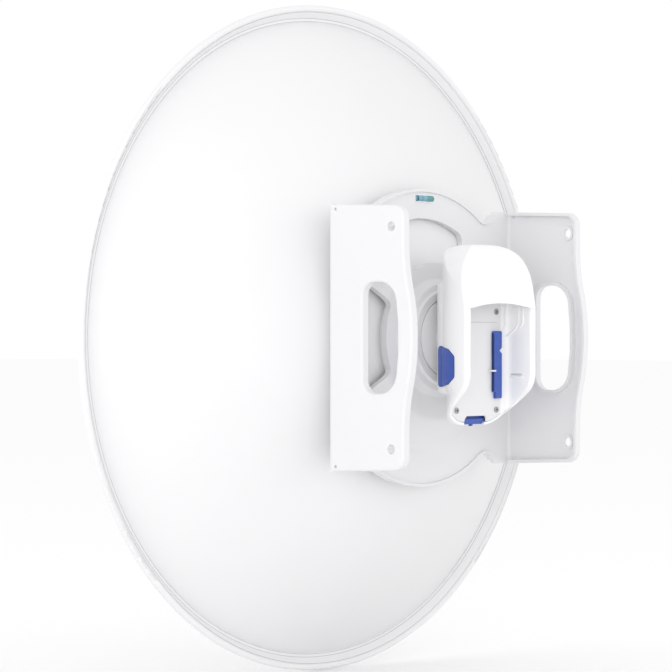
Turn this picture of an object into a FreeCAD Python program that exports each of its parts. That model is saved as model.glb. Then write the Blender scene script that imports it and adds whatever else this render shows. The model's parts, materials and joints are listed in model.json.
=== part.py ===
"""Outdoor wireless bridge: dish reflector, rear mounting bracket, feed and radio pod.

Millimetres.  +X is to the right when looking along the beam, +Y is the way the beam leaves,
+Z is up.  The origin lies on the dish axis in the rear plane of the bracket's base plate.
A "depth" is a distance behind that plane, so it is minus Y.
"""
import FreeCAD, Part
import math
import os

Vector = FreeCAD.Vector
X_AXIS = Vector(1, 0, 0)
Y_AXIS = Vector(0, 1, 0)
Z_AXIS = Vector(0, 0, 1)
ORIGIN = Vector(0, 0, 0)

# ---------------------------------------------------------------- driving dimensions
# Clearances
seat_gap = 0.3              # between curved faces of neighbouring pieces
slide_gap = 0.35            # around a piece that slides
hole_clearance = 0.3        # radial, around a screw shank
bowl_fit = 0.05             # between the bowl and the rings that seat on it
least_round = 0.4           # smallest corner radius of an inset outline
growth_tolerance = 0.01

# Dish reflector
dish_radius = 324.5
dish_wall = 2.0
bowl_edge_radius = 308.4
bowl_edge_y = 133.0
bowl_vertex_y = -12.0       # back of the bowl on the axis
bowl_steps = 12
rim_step = 0.8
rim_shelf_radius = 312.0
rim_slope_radius = 317.6
rim_slope_y = 126.5
rim_roll_radius = 3.2
rim_roll_y = 127.6
rim_front_y = 129.3
bowl_hole_radius = 40.0

# Mounting bracket
plate_thickness = 3.0
disc_radius = 141.2
disc_lip_width = 2.5
disc_lip_height = 2.0
disc_skirt_depth = 7.0
relief_radius = 14.0
relief_rise = 3.7            # of the notch's centre above the wings' edge
relief_round = 5.0
wing_half_height = 122.8
fold_half_width = 130.0
fold_inner_radius = 3.0
flange_depth = 89.0
flange_bulge = 10.1
flange_bulge_start = 66.0
flange_bulge_end = 22.0
flange_bulge_radius = 180.0
flange_taper = 3.3
flange_corner_radius = 12.0
flange_toe_in = 1.0         # degrees
flange_edge_round = 2.6
lip_width = 8.3
slot_front_depth = 39.6
slot_rear_depth = 81.6
slot_half_height = 50.5
slot_front_round = 13.0
slot_rear_round = 20.0
slot_bulge = 4.0
bolt_depth = 74.7
bolt_spacing = 201.0
bolt_hole_radius = 4.5
bolt_boss_radius = 7.0
bolt_boss_height = 1.2
dimple_depth = 7.2
dimple_height = 118.0
dimple_radius = 1.5

# Hub of the bracket
cone_outer_radius = 106.0
plateau_outer_radius = 78.0
plateau_depth = 16.6
plateau_inner_radius = 55.4
boss_foot_radius = 51.0
boss_shoulder_depth = 25.6
boss_ledge_radius = 46.0
boss_ledge_depth = 26.8
hub_rim_radius = 44.4
hub_face_depth = 29.6
cone_foot_round = 12.0
cone_top_round = 10.0
boss_corner_round = 2.5
boss_shoulder_round = 1.2
hub_seat_radius = 37.3
hub_bore_radius = 24.0
window_inner_radius = 70.6
window_outer_radius = 113.4
window_spoke_half_width = 23.2
window_corner_radius = 9.0
window_wall = 2.5
window_wall_depth = 6.4
hub_screw_circle = 63.0
hub_screw_radius = 3.0
hub_screw_head_radius = 5.2
hub_screw_head_height = 3.3
spacer_inner_radius = 56.5
spacer_outer_radius = 67.8
backing_inner_radius = 50.0
backing_outer_radius = 76.0
backing_front_y = 2.5
nut_radius = 5.8
nut_height = 5.0
washer_radius = 6.4
washer_thickness = 1.6
screw_tip_length = 1.5

# Level vial
level_z = 132.3
level_length = 27.4
level_height = 7.4
level_proud = 1.0
level_sink = 4.0
vial_radius = 2.3
vial_wall = 0.5
vial_length = 24.0
bubble_radius = 1.6
bubble_length = 5.6

# Feed
flange_disc_thickness = 3.0
flange_seat_gap = 0.9       # groove left around the flange in the bracket's hub
spigot_radius = 14.8
spigot_bore_radius = 12.4
spigot_end_depth = 57.5
spigot_groove_start = 51.4
spigot_groove_end = 56.0
spigot_groove_radius = 13.2
feed_tube_radius = 14.0
feed_tube_bore = 12.0
feed_tube_end_y = 112.0
feed_screw_circle = 29.5
feed_screw_radius = 2.0
lock_ring_radius = 23.0
lock_ring_height = 8.0
cone_base_radius = 33.0
cone_length = 30.0
cone_plug_length = 14.0
cone_plug_taper = 5.0
cone_plug_tip_radius = 6.0
cone_waist_radius = 14.85
cone_waist_depth = 2.0
cone_apex_depth = 9.0
lock_ring_notch = 2.0
subreflector_radius = 35.0
subreflector_thickness = 3.0
subreflector_round = 1.0
radome_radius = 39.0
radome_wall = 1.8
radome_front_gap = 5.0
radome_neck_wall = 4.0
radome_neck_round = 2.0
radome_shoulder = 12.0      # ahead of the tube's end
radome_shoulder_round = 14.0
radome_front_round = 6.0
radome_step = 1.0
seal_ring_radius = 1.4

# Radio pod
pod_half_width = 51.2
pod_top_z = 86.8
pod_bottom_z = -81.6
pod_top_round = 40.0
pod_chin_round = 38.0
pod_front_depth = 47.0
pod_side_round = 40.0
pod_split_depth = 64.0
pod_rear_depth = 98.0
pod_rear_round = 4.1
pod_blend = 4.0             # rounding of the creases where the pod's faces meet
pod_wall = 2.6
nose_front_depth = 34.0
nose_half_width = 42.0
nose_half_height = 52.5
nose_round = 37.0
nose_blend = 6.0
nose_overlap = 1.0          # how far the nose runs on inside the pod's body
hood_rim_z = 27.5
hood_arch = 4.5
hood_lean = 9.5
hood_top_round = 20.0
front_top_round = 18.0
front_chin_round = 18.0
bay_half_width = 43.0
bay_ceiling_z = 36.0
bay_corner_round = 9.0
ceiling_thickness = 2.2
wall_rear_inset = 1.8
chin_wall = 1.5
panel_step_z = 15.0
panel_step_height = 0.5
chin_top_z = -30.0
chin_depth = 92.0
chin_z = -47.0
chin_round = 22.0
wall_bend_z = 2.0
wall_bend_round = 40.0
chin_top_round = 24.0
chin_toe_height = 9.0       # the chin's lower end leans forward by chin_toe_lean over this
chin_toe_lean = 3.2
chin_toe_round = 6.0
panel_thickness = 2.0
panel_fit = 0.05             # behind the panel, under the housing's walls
panel_screw_x = 28.6
panel_screw_top_z = 24.4
panel_screw_bottom_z = -67.6
panel_screw_radius = 1.5
panel_screw_head_radius = 2.7
panel_screw_head_height = 1.2
panel_screw_length = 9.0
panel_post_radius = 3.6
gasket_width = 1.6
gasket_inset = 16.5
gasket_thickness = 1.2

# Side release buttons
button_z = -26.6
button_front_depth = 50.5
button_rear_depth = 82.6
button_front_half_height = 19.6
button_rear_half_height = 9.5
button_round = 4.5
button_bend = 1.5
button_proud = 0.8
button_thickness = 2.4
button_travel = 2.5
button_room_inner_x = 20.0
latch_thickness = 1.5
latch_half_height = 19.0
latch_arm_low = -24.0
latch_arm_high = -9.0
latch_jaw_gap = 0.3
latch_hole_radius = 15.2
latch_far_reach = 20.5
latch_left_depth = 51.9
latch_plane_gap = 0.5
spring_z = -36.0
spring_depth = 59.3
spring_coil_radius = 2.2
spring_wire_radius = 0.35
spring_turns = 5
spring_seat_x = 27.0
spring_seat_wall = 1.8
spring_end_gap = 0.4

# Lock slider, release tab
slider_x_low = 22.0
slider_x_high = 33.8
slider_z_low = -57.0
slider_z_high = 6.3
slider_thickness = 3.2
slider_round = 1.6
slider_notch = 4.2
slider_bevel = 0.8
slider_notch_z = -12.0
slider_step_width = 2.6
slider_step_height = 6.0
slider_travel = 6.0
keeper_z = -31.0
keeper_height = 1.6
keeper_reach = 1.2
keeper_length = 5.0
keeper_thickness = 1.0
slider_neck_x = 26.8
slider_neck_width = 3.0
slider_neck_z = -15.0
slider_neck_length = 10.0
slider_foot_margin = 1.6
slider_foot_thickness = 1.5
chin_step = 5.0
chin_step_top_z = -42.0
chin_step_bottom_z = -52.0
tab_top_half_width = 13.3
tab_half_width = 14.8
tab_z_low = -80.9
tab_z_high = -75.3
tab_rear_depth = 63.6
tab_slope = 3.0
tab_thickness = 3.4
tab_travel = 2.0
tab_nib = 1.6
tab_nib_half_width = 1.0
tab_stem_half_width = 4.0
tab_apron_half_width = 18.4  # the strip that closes the gap around the tab from inside
tab_apron_thickness = 1.4
tab_apron_lap = 0.9
tab_apron_drop = 2.0
tab_stem_top_z = -64.0
tab_stem_depth = 57.2
tab_stem_thickness = 3.0
tab_spring_radius = 1.4
tab_spring_length = 7.0
tab_stop_thickness = 2.0

# Electronics
board_half_width = 24.0
board_depth = 60.6
board_thickness = 1.6
board_top_z = 74.0
board_bottom_z = -62.0
board_corner = 3.0
board_top_corner = 12.0
shield_wall = 0.4
shield_half_width = 17.0
shield_z_low = 24.0
shield_z_high = 66.0
shield_height = 5.0
spreader_height = 1.5
launcher_radius = 11.6
launcher_wall = 2.5
launcher_floor = 1.5
launcher_depth = 54.5
data_port_width = 16.0
data_port_height = 22.0
data_port_depth = 14.0
data_port_x = -12.0
fibre_port_width = 14.0
fibre_port_height = 24.0
fibre_port_depth = 10.0
fibre_port_x = 12.0
port_near_depth = 70.0
port_wall = 1.2
port_mouth_depth = 16.0
port_frame_margin = 2.4
port_frame_thickness = 1.6

# Values worked out from the sizes above
bowl_curve = (bowl_edge_y - bowl_vertex_y) / bowl_edge_radius ** 2
flange_drop = math.tan(math.radians(flange_toe_in))
split_y = -pod_split_depth
panel_rear_depth = pod_split_depth + panel_thickness
latch_right_depth = latch_left_depth + latch_thickness + latch_plane_gap
far = 400.0                 # longer than any cut needs to be


# ---------------------------------------------------------------- outline helpers
def bowl_y(radius):
    """Height of the back of the bowl at a radius."""
    return bowl_vertex_y + bowl_curve * radius ** 2


def bowl_back(start, end, offset=0.0):
    """The back of the bowl between two radii as one exact curve, moved forward by an offset."""
    middle_y = bowl_vertex_y + bowl_curve * start * end
    points = [(start, bowl_y(start)), ((start + end) / 2, middle_y), (end, bowl_y(end))]
    curve = Part.BezierCurve()
    curve.setPoles([Vector(radius, y + offset, 0) for radius, y in points])
    return curve.toShape()


def on_xz(u, v):
    return Vector(u, 0, v)


def on_yz(u, v):
    return Vector(0, u, v)


def on_xy(u, v):
    return Vector(u, v, 0)


def rounded_wire(corners, place):
    """A closed wire through (u, v, corner radius) points, laid on a plane by place(u, v)."""
    count = len(corners)
    starts = []
    ends = []
    middles = []
    for index, (u, v, radius) in enumerate(corners):
        here = place(u, v)
        before = place(*corners[index - 1][:2])
        after = place(*corners[(index + 1) % count][:2])
        to_before = (before - here).normalize()
        to_after = (after - here).normalize()
        half_angle = to_before.getAngle(to_after) / 2
        if radius <= 0 or half_angle > math.pi / 2 - 1e-6:
            starts.append(here)
            ends.append(here)
            middles.append(None)
            continue
        reach = radius / math.tan(half_angle)
        bisector = (to_before + to_after).normalize()
        centre = here + bisector * (radius / math.sin(half_angle))
        starts.append(here + to_before * reach)
        ends.append(here + to_after * reach)
        middles.append(centre - bisector * radius)
    edges = []
    for index in range(count):
        if middles[index] is not None:
            edges.append(Part.Arc(starts[index], middles[index], ends[index]).toShape())
        following = (index + 1) % count
        if (starts[following] - ends[index]).Length > 1e-4:
            edges.append(Part.LineSegment(ends[index], starts[following]).toShape())
    return Part.Wire(edges)


def prism(corners, place, low, high):
    """A rounded outline pushed along the axis that its plane leaves out, from low to high."""
    normal = {on_xz: Y_AXIS, on_yz: X_AXIS, on_xy: Z_AXIS}[place]
    face = Part.Face(rounded_wire(corners, place))
    face.translate(normal * low)
    return face.extrude(normal * (high - low))


def box(x_span, y_span, z_span):
    size = [high - low for low, high in (x_span, y_span, z_span)]
    return Part.makeBox(*size, Vector(x_span[0], y_span[0], z_span[0]))


def turned(corners):
    """A rounded (radius, y) outline turned about the dish axis."""
    wire = rounded_wire(corners, on_xy)
    return Part.Face(wire).revolve(ORIGIN, Y_AXIS, 360)


def ring(inner, outer, y_low, y_high):
    return turned([(inner, y_low, 0), (outer, y_low, 0), (outer, y_high, 0), (inner, y_high, 0)])


def rod(radius, start, axis, length):
    return Part.makeCylinder(radius, length, start, axis)


def mirrored(shape):
    """The same piece on the other side of the X = 0 plane."""
    return shape.mirror(ORIGIN, X_AXIS)


def joined(shapes):
    result = shapes[0]
    for shape in shapes[1:]:
        result = result.fuse(shape)
    return result.removeSplitter()


def edges_along(shape, axis, picked):
    """Straight edges that run along an axis and whose middle point passes a test."""
    found = []
    for edge in shape.Edges:
        if not isinstance(edge.Curve, (Part.Line, Part.LineSegment)):
            continue
        if abs(abs(edge.tangentAt(edge.FirstParameter).dot(axis)) - 1) > 1e-6:
            continue
        if picked(edge.CenterOfMass):
            found.append(edge)
    return found


# ---------------------------------------------------------------- dish
def dish_reflector():
    """Spun bowl with a stiffening rim rolled back at its edge."""
    back_start = Vector(bowl_hole_radius, bowl_y(bowl_hole_radius), 0)
    back_end = Vector(bowl_edge_radius, bowl_edge_y, 0)
    front = []
    for step in range(bowl_steps + 1):
        radius = bowl_hole_radius + (bowl_edge_radius - bowl_hole_radius) * step / bowl_steps
        slope = 2 * bowl_curve * radius
        length = math.hypot(1, slope)
        front.append(Vector(radius - dish_wall * slope / length, bowl_y(radius) + dish_wall / length, 0))
    front_curve = Part.BSplineCurve()
    front_curve.interpolate(front)
    roll_centre = dish_radius - rim_roll_radius
    inner_roll = rim_roll_radius - dish_wall
    shelf_y = bowl_edge_y - rim_step
    outward = [
        back_end,
        Vector(bowl_edge_radius + rim_step, shelf_y, 0),
        Vector(rim_shelf_radius, shelf_y, 0),
        Vector(rim_slope_radius, rim_slope_y, 0),
        Vector(roll_centre - rim_roll_radius, rim_roll_y, 0),
    ]
    inward = [
        Vector(dish_radius, rim_roll_y, 0),
        Vector(dish_radius, rim_front_y, 0),
        Vector(dish_radius - dish_wall, rim_front_y, 0),
        Vector(dish_radius - dish_wall, rim_roll_y, 0),
    ]
    under = [
        Vector(roll_centre - inner_roll, rim_roll_y, 0),
        Vector(roll_centre - inner_roll, rim_roll_y + dish_wall, 0),
        Vector(rim_slope_radius, rim_slope_y + dish_wall * math.sqrt(2), 0),
        Vector(rim_shelf_radius + dish_wall / 2, shelf_y + dish_wall, 0),
        front[-1],
    ]
    edges = [bowl_back(bowl_hole_radius, bowl_edge_radius)]
    edges += [Part.LineSegment(a, b).toShape() for a, b in zip(outward, outward[1:])]
    crest = Vector(roll_centre, rim_roll_y - rim_roll_radius, 0)
    edges.append(Part.Arc(outward[-1], crest, inward[0]).toShape())
    edges += [Part.LineSegment(a, b).toShape() for a, b in zip(inward, inward[1:])]
    inner_crest = Vector(roll_centre, rim_roll_y - inner_roll, 0)
    edges.append(Part.Arc(inward[-1], inner_crest, under[0]).toShape())
    edges += [Part.LineSegment(a, b).toShape() for a, b in zip(under, under[1:])]
    edges.append(front_curve.toShape())
    edges.append(Part.LineSegment(front[0], back_start).toShape())
    face = Part.Face(Part.Wire(Part.__sortEdges__(edges)))
    bowl = face.revolve(ORIGIN, Y_AXIS, 360)
    return bowl.cut(screw_holes(hub_screw_radius + hole_clearance))


def hub_screw_places():
    places = []
    for index in range(4):
        angle = math.radians(45 + 90 * index)
        places.append((hub_screw_circle * math.cos(angle), hub_screw_circle * math.sin(angle)))
    return places


def screw_holes(radius):
    holes = [rod(radius, Vector(x, -far, z), Y_AXIS, 2 * far) for x, z in hub_screw_places()]
    return Part.makeCompound(holes)


def ahead_of_bowl(offset):
    """All that lies ahead of the back of the bowl, with that surface moved forward by an offset."""
    reach = disc_radius
    start = Vector(0, bowl_vertex_y + offset, 0)
    edge = Vector(reach, bowl_y(reach) + offset, 0)
    corner = Vector(reach, far, 0)
    top = Vector(0, far, 0)
    edges = [
        bowl_back(0, reach, offset),
        Part.LineSegment(edge, corner).toShape(),
        Part.LineSegment(corner, top).toShape(),
        Part.LineSegment(top, start).toShape(),
    ]
    return Part.Face(Part.Wire(edges)).revolve(ORIGIN, Y_AXIS, 360)


def hub_spacer_ring():
    """Ring that carries the bracket on the back of the bowl."""
    blank = ring(spacer_inner_radius, spacer_outer_radius, -plateau_depth + plate_thickness, far / 4)
    seated = blank.cut(ahead_of_bowl(-bowl_fit))
    return seated.cut(screw_holes(hub_screw_radius + hole_clearance))


def hub_backing_ring():
    """Ring inside the bowl that spreads the load of the hub screws."""
    blank = ring(backing_inner_radius, backing_outer_radius, -far / 4, backing_front_y)
    slope = 2 * bowl_curve * backing_outer_radius
    lift = dish_wall * math.hypot(1, slope)
    seated = blank.common(ahead_of_bowl(lift + bowl_fit))
    return seated.cut(screw_holes(hub_screw_radius + hole_clearance))


def hub_screws():
    tip = backing_front_y + washer_thickness + nut_height + screw_tip_length
    screws = []
    for x, z in hub_screw_places():
        head = rod(hub_screw_head_radius, Vector(x, -plateau_depth - hub_screw_head_height, z),
                   Y_AXIS, hub_screw_head_height)
        shank = rod(hub_screw_radius, Vector(x, -plateau_depth, z), Y_AXIS, plateau_depth + tip)
        socket = hexagon(hub_screw_radius, hub_screw_head_height * 0.6, x,
                         -plateau_depth - hub_screw_head_height, z)
        screws.append(head.fuse(shank).cut(socket))
    return Part.makeCompound(screws)


def hexagon(radius, height, x, y, z):
    corners = []
    for index in range(6):
        angle = math.radians(60 * index)
        corners.append((x + radius * math.cos(angle), z + radius * math.sin(angle), 0))
    return prism(corners, on_xz, y, y + height)


def hub_washers():
    washers = []
    for x, z in hub_screw_places():
        disc = rod(washer_radius, Vector(x, backing_front_y, z), Y_AXIS, washer_thickness)
        washers.append(disc.cut(rod(hub_screw_radius, Vector(x, -far, z), Y_AXIS, 2 * far)))
    return Part.makeCompound(washers)


def hub_nuts():
    nuts = []
    for x, z in hub_screw_places():
        nut = hexagon(nut_radius, nut_height, x, backing_front_y + washer_thickness, z)
        nuts.append(nut.cut(rod(hub_screw_radius, Vector(x, -far, z), Y_AXIS, 2 * far)))
    return Part.makeCompound(nuts)


# ---------------------------------------------------------------- mounting bracket
def base_outline(y_low, y_high, inset):
    """The base plate's outline, drawn in by an inset, between two planes."""
    centre_z = wing_half_height + relief_rise
    relief_x = math.sqrt((disc_radius + relief_radius) ** 2 - centre_z ** 2)
    tangent_x = relief_x * disc_radius / (disc_radius + relief_radius)
    disc = rod(disc_radius - inset, Vector(0, y_low, 0), Y_AXIS, y_high - y_low)
    wing_end = fold_half_width - plate_thickness - fold_inner_radius
    body = disc.common(box((-wing_end, wing_end), (-far, far), (-far, far)))
    for side in (-1, 1):
        x_span = sorted((side * tangent_x, side * wing_end))
        wing = box(x_span, (y_low, y_high), (-wing_half_height + inset, wing_half_height - inset))
        body = body.fuse(wing)
    for x in (-relief_x, relief_x):
        for z in (-centre_z, centre_z):
            relief = rod(relief_radius + inset, Vector(x, y_low, z), Y_AXIS, y_high - y_low)
            body = body.cut(relief)
    body = body.removeSplitter()
    corners = edges_along(body, Y_AXIS, lambda p: relief_x < abs(p.x) < wing_end - 1
                          and abs(abs(p.z) - wing_half_height + inset) < 0.01)
    return body.makeFillet(relief_round, corners)


def hub_section(thickness):
    """The bracket's raised hub in section, from its rear face forward by a thickness."""
    rear = [
        (cone_outer_radius + relief_round, 0.0, 0),
        (cone_outer_radius, 0.0, cone_foot_round),
        (plateau_outer_radius, -plateau_depth, cone_top_round),
        (plateau_inner_radius, -plateau_depth, boss_corner_round),
        (boss_foot_radius, -boss_shoulder_depth, boss_shoulder_round),
        (boss_ledge_radius, -boss_ledge_depth, 0),
        (hub_rim_radius, -hub_face_depth, 0),
        (hub_seat_radius, -hub_face_depth, 0),
    ]
    front = [(radius, y + thickness, rounding) for radius, y, rounding in reversed(rear[:-2])]
    seat_y = -hub_face_depth + flange_disc_thickness
    seat = [
        (hub_seat_radius, seat_y, 0),
        (hub_bore_radius, seat_y, 0),
        (hub_bore_radius, seat_y + thickness, 0),
    ]
    return turned(rear + seat + front)


def window_cutter(grow, y_low, y_high):
    """One arched window between two spokes, grown outwards on every side."""
    spoke = (window_spoke_half_width - grow) * math.sqrt(2)
    inner = window_inner_radius - grow
    outer = window_outer_radius + grow
    annulus = ring(inner, outer, y_low, y_high)
    wedge = prism([(0, spoke, 0), (far, spoke + far, 0), (-far, spoke + far, 0)], on_xz, y_low, y_high)
    window = annulus.common(wedge)
    radius = window_corner_radius + grow
    outer_corners = edges_along(window, Y_AXIS, lambda p: math.hypot(p.x, p.z) > outer - 0.1)
    window = window.makeFillet(radius, outer_corners)
    inner_corners = edges_along(window, Y_AXIS, lambda p: math.hypot(p.x, p.z) < inner + 0.1)
    return window.makeFillet(radius / 2, inner_corners)


def around(shape):
    """A window at the top, left and right."""
    copies = []
    for angle in (0, 90, -90):
        copy = shape.copy()
        copy.rotate(ORIGIN, Y_AXIS, angle)
        copies.append(copy)
    return copies


def flange_outline(inset):
    edge = -flange_depth + inset
    bulge = edge - flange_bulge
    top = wing_half_height - inset
    low = top - flange_taper
    corner = max(flange_corner_radius - inset, 0)
    half = [
        (edge, low, corner),
        (edge, flange_bulge_start, flange_bulge_radius),
        (bulge, flange_bulge_end, flange_bulge_radius),
    ]
    start = -fold_inner_radius
    lower = [(u, -v, radius) for u, v, radius in reversed(half)]
    return [(start, top, 0)] + half + lower + [(start, -top, 0)]


def slot_outline(grow):
    front = -slot_front_depth + grow
    shoulder = -slot_rear_depth + slot_bulge - grow
    rear = -slot_rear_depth - grow
    height = slot_half_height + grow
    half = [
        (front, height, slot_front_round + grow),
        (shoulder, height, slot_rear_round + grow),
        (rear, height / 4, slot_rear_round * 3),
    ]
    return half + [(u, -v, radius) for u, v, radius in reversed(half)]


def flange_pan():
    """Right-hand flange: a plate with its free edges and its hand slot turned inwards."""
    outer = fold_half_width
    blank = prism(flange_outline(0), on_yz, outer - lip_width, outer)
    blank = blank.cut(prism(slot_outline(0), on_yz, outer - far, outer + far))
    rounded = []
    for edge in blank.Edges:
        middle = edge.CenterOfMass
        on_face = abs(edge.BoundBox.XMin - outer) < 1e-6 and abs(edge.BoundBox.XMax - outer) < 1e-6
        if on_face and middle.y < -fold_inner_radius - 1e-3:
            rounded.append(edge)
    blank = blank.makeFillet(flange_edge_round, rounded)
    pocket = flange_outline(plate_thickness)
    pocket = [(u if index not in (0, len(pocket) - 1) else 0.0, v, r)
              for index, (u, v, r) in enumerate(pocket)]
    hollow = prism(pocket, on_yz, outer - far, outer - plate_thickness)
    collar = prism(slot_outline(plate_thickness), on_yz, outer - far, outer)
    pan = blank.cut(hollow.cut(collar))
    pan.rotate(Vector(outer, -fold_inner_radius, 0), Z_AXIS, -flange_toe_in)
    return pan


def fold():
    """Right-hand bend between a wing and its flange."""
    outer = fold_inner_radius + plate_thickness
    centre_x = fold_half_width - outer
    height = 2 * wing_half_height
    start = Vector(centre_x, -fold_inner_radius, -wing_half_height)
    tube = rod(outer, start, Z_AXIS, height).cut(rod(fold_inner_radius, start, Z_AXIS, height))
    quarter = box((centre_x, centre_x + outer), (-fold_inner_radius, outer),
                  (-wing_half_height, wing_half_height))
    return tube.common(quarter)


def mounting_bracket():
    """U-shaped bracket: dished base with windows, and two flanges that the pole mount bolts to."""
    plate = base_outline(0, plate_thickness, 0)
    edge_band = base_outline(-disc_lip_height, disc_skirt_depth, 0)
    edge_band = edge_band.cut(base_outline(-far, far, disc_lip_width))
    keep = fold_half_width - relief_radius * 2
    edge_band = edge_band.common(box((-keep, keep), (-far, far), (-far, far)))
    opening = rod(cone_outer_radius, Vector(0, -far, 0), Y_AXIS, 2 * far)
    body = plate.cut(opening).fuse(edge_band).fuse(hub_section(plate_thickness))
    wall_space = hub_section(window_wall_depth)
    wall_space = wall_space.fuse(ring(cone_outer_radius, window_outer_radius + window_wall,
                                      0, window_wall_depth))
    wall_band = window_cutter(window_wall, -far, far).common(wall_space).cut(ahead_of_bowl(-seat_gap))
    body = joined([body] + around(wall_band))
    for window in around(window_cutter(0, -far, far)):
        body = body.cut(window)
    side = joined([flange_pan(), fold()])
    inner = fold_half_width - plate_thickness
    for z in (-bolt_spacing / 2, bolt_spacing / 2):
        inner_face = inner - (bolt_depth - fold_inner_radius) * flange_drop
        boss = rod(bolt_boss_radius, Vector(inner_face - bolt_boss_height, -bolt_depth, z),
                   X_AXIS, bolt_boss_height + plate_thickness / 2)
        side = side.fuse(boss)
        side = side.cut(rod(bolt_hole_radius, Vector(0, -bolt_depth, z), X_AXIS, far))
    for z in (-dimple_height, dimple_height):
        side = side.cut(rod(dimple_radius, Vector(0, -dimple_depth, z), X_AXIS, far))
    body = joined([body, side, mirrored(side)])
    body = body.cut(screw_holes(hub_screw_radius + hole_clearance))
    for x, z in feed_screw_places():
        body = body.cut(rod(feed_screw_radius, Vector(x, -far, z), Y_AXIS, far))
    level_slot = box((-level_length / 2, level_length / 2), (-far, far),
                     (level_z - level_height / 2, level_z + level_height / 2))
    return body.cut(level_slot)


# ---------------------------------------------------------------- level vial
def level_holder():
    """Frame set in the base plate, with a trough for the vial."""
    half = level_height / 2
    corner = least_round
    outline = [(-level_length / 2, level_z - half, corner), (level_length / 2, level_z - half, corner),
               (level_length / 2, level_z + half, corner), (-level_length / 2, level_z + half, corner)]
    frame = prism(outline, on_xz, -level_proud, level_sink)
    radius = vial_radius + vial_wall
    trough = rod(radius, Vector(-vial_length / 2, -level_proud / 2, level_z), X_AXIS, vial_length)
    mouth = box((-vial_length / 2, vial_length / 2), (-far, -level_proud / 2),
                (level_z - radius, level_z + radius))
    return frame.cut(trough).cut(mouth)


def level_vial():
    start = Vector(-vial_length / 2, -level_proud / 2, level_z)
    bore_start = start + X_AXIS * vial_wall
    tube = rod(vial_radius + vial_wall, start, X_AXIS, vial_length)
    return tube.cut(rod(vial_radius, bore_start, X_AXIS, vial_length - 2 * vial_wall))


def level_bubble():
    centre = Vector(-bubble_length / 2, -level_proud / 2, level_z + vial_radius - bubble_radius)
    middle = rod(bubble_radius, centre, X_AXIS, bubble_length)
    left = Part.makeSphere(bubble_radius, centre)
    right = Part.makeSphere(bubble_radius, centre + X_AXIS * bubble_length)
    return joined([middle, left, right])


# ---------------------------------------------------------------- feed
def feed_screw_places():
    return [(0, feed_screw_circle), (0, -feed_screw_circle)]


def feed_flange():
    """Round flange let into the bracket's hub, with the spigot that the pod clips on to."""
    rear = -hub_face_depth
    seat = rear + flange_disc_thickness
    disc = ring(spigot_bore_radius, hub_seat_radius - flange_seat_gap, rear, seat)
    spigot = ring(spigot_bore_radius, spigot_radius, -spigot_end_depth, rear)
    socket = ring(feed_tube_radius, hub_bore_radius - seat_gap, seat, seat + lock_ring_height)
    groove = ring(spigot_groove_radius, spigot_radius + 1, -spigot_groove_end, -spigot_groove_start)
    body = joined([disc, spigot, socket]).cut(groove)
    for x, z in feed_screw_places():
        body = body.cut(rod(feed_screw_radius, Vector(x, -far, z), Y_AXIS, 2 * far))
    return body


def feed_flange_screws():
    screws = []
    for x, z in feed_screw_places():
        head = rod(feed_screw_radius * 1.8, Vector(x, -hub_face_depth - feed_screw_radius, z),
                   Y_AXIS, feed_screw_radius)
        shank = rod(feed_screw_radius, Vector(x, -hub_face_depth, z), Y_AXIS,
                    flange_disc_thickness + plate_thickness)
        screws.append(head.fuse(shank))
    return Part.makeCompound(screws)


def feed_tube():
    start = -hub_face_depth + flange_disc_thickness
    return ring(feed_tube_bore, feed_tube_radius, start, feed_tube_end_y)


def feed_lock_ring():
    """Ring nut that clamps the feed tube in front of the hub."""
    low = -hub_face_depth + flange_disc_thickness + lock_ring_height
    body = ring(feed_tube_radius, lock_ring_radius, low, low + lock_ring_height)
    for index in range(6):
        notch = box((lock_ring_radius - lock_ring_notch, far), (low, low + lock_ring_height),
                    (-lock_ring_notch, lock_ring_notch))
        notch.rotate(ORIGIN, Y_AXIS, 60 * index)
        body = body.cut(notch)
    return body


def subreflector_support():
    """Clear plastic cone that carries the subreflector on the end of the tube."""
    plug_start = feed_tube_end_y - cone_plug_length
    end = feed_tube_end_y + cone_length
    return turned([
        (0, plug_start, 0), (cone_plug_tip_radius, plug_start, 0),
        (feed_tube_bore, plug_start + cone_plug_taper, 0),
        (feed_tube_bore, feed_tube_end_y, 0), (feed_tube_radius, feed_tube_end_y, 0),
        (cone_base_radius, end, 0), (cone_waist_radius, end - cone_waist_depth, 0),
        (0, end - cone_apex_depth, 0),
    ])


def subreflector():
    """Shaped metal disc on the face of the cone."""
    low = feed_tube_end_y + cone_length
    high = low + subreflector_thickness
    return turned([
        (0, low - cone_apex_depth, 0), (cone_waist_radius, low - cone_waist_depth, 0),
        (cone_base_radius, low, 0), (subreflector_radius, low, 0),
        (subreflector_radius, high, subreflector_round), (0, high, 0),
    ])


def feed_radome():
    """Cap that keeps rain off the cone and the subreflector."""
    back = feed_tube_end_y - cone_plug_length
    front = feed_tube_end_y + cone_length + subreflector_thickness + radome_front_gap
    outside = turned([
        (0, back, 0), (feed_tube_radius + radome_neck_wall, back, radome_neck_round),
        (radome_radius, feed_tube_end_y + radome_shoulder, radome_shoulder_round),
        (radome_radius, front, radome_front_round), (0, front, 0),
    ])
    wall = radome_wall
    floor = feed_tube_end_y - radome_step
    inside = turned([
        (0, floor, 0), (feed_tube_radius + radome_neck_wall - wall, floor, 0),
        (radome_radius - wall, feed_tube_end_y + radome_shoulder + radome_step, radome_shoulder_round - wall),
        (radome_radius - wall, front - wall, radome_front_round - wall), (0, front - wall, 0),
    ])
    bore = rod(feed_tube_radius, Vector(0, back - 1, 0), Y_AXIS, feed_tube_end_y - back + 1)
    return outside.cut(inside).cut(bore)


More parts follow.
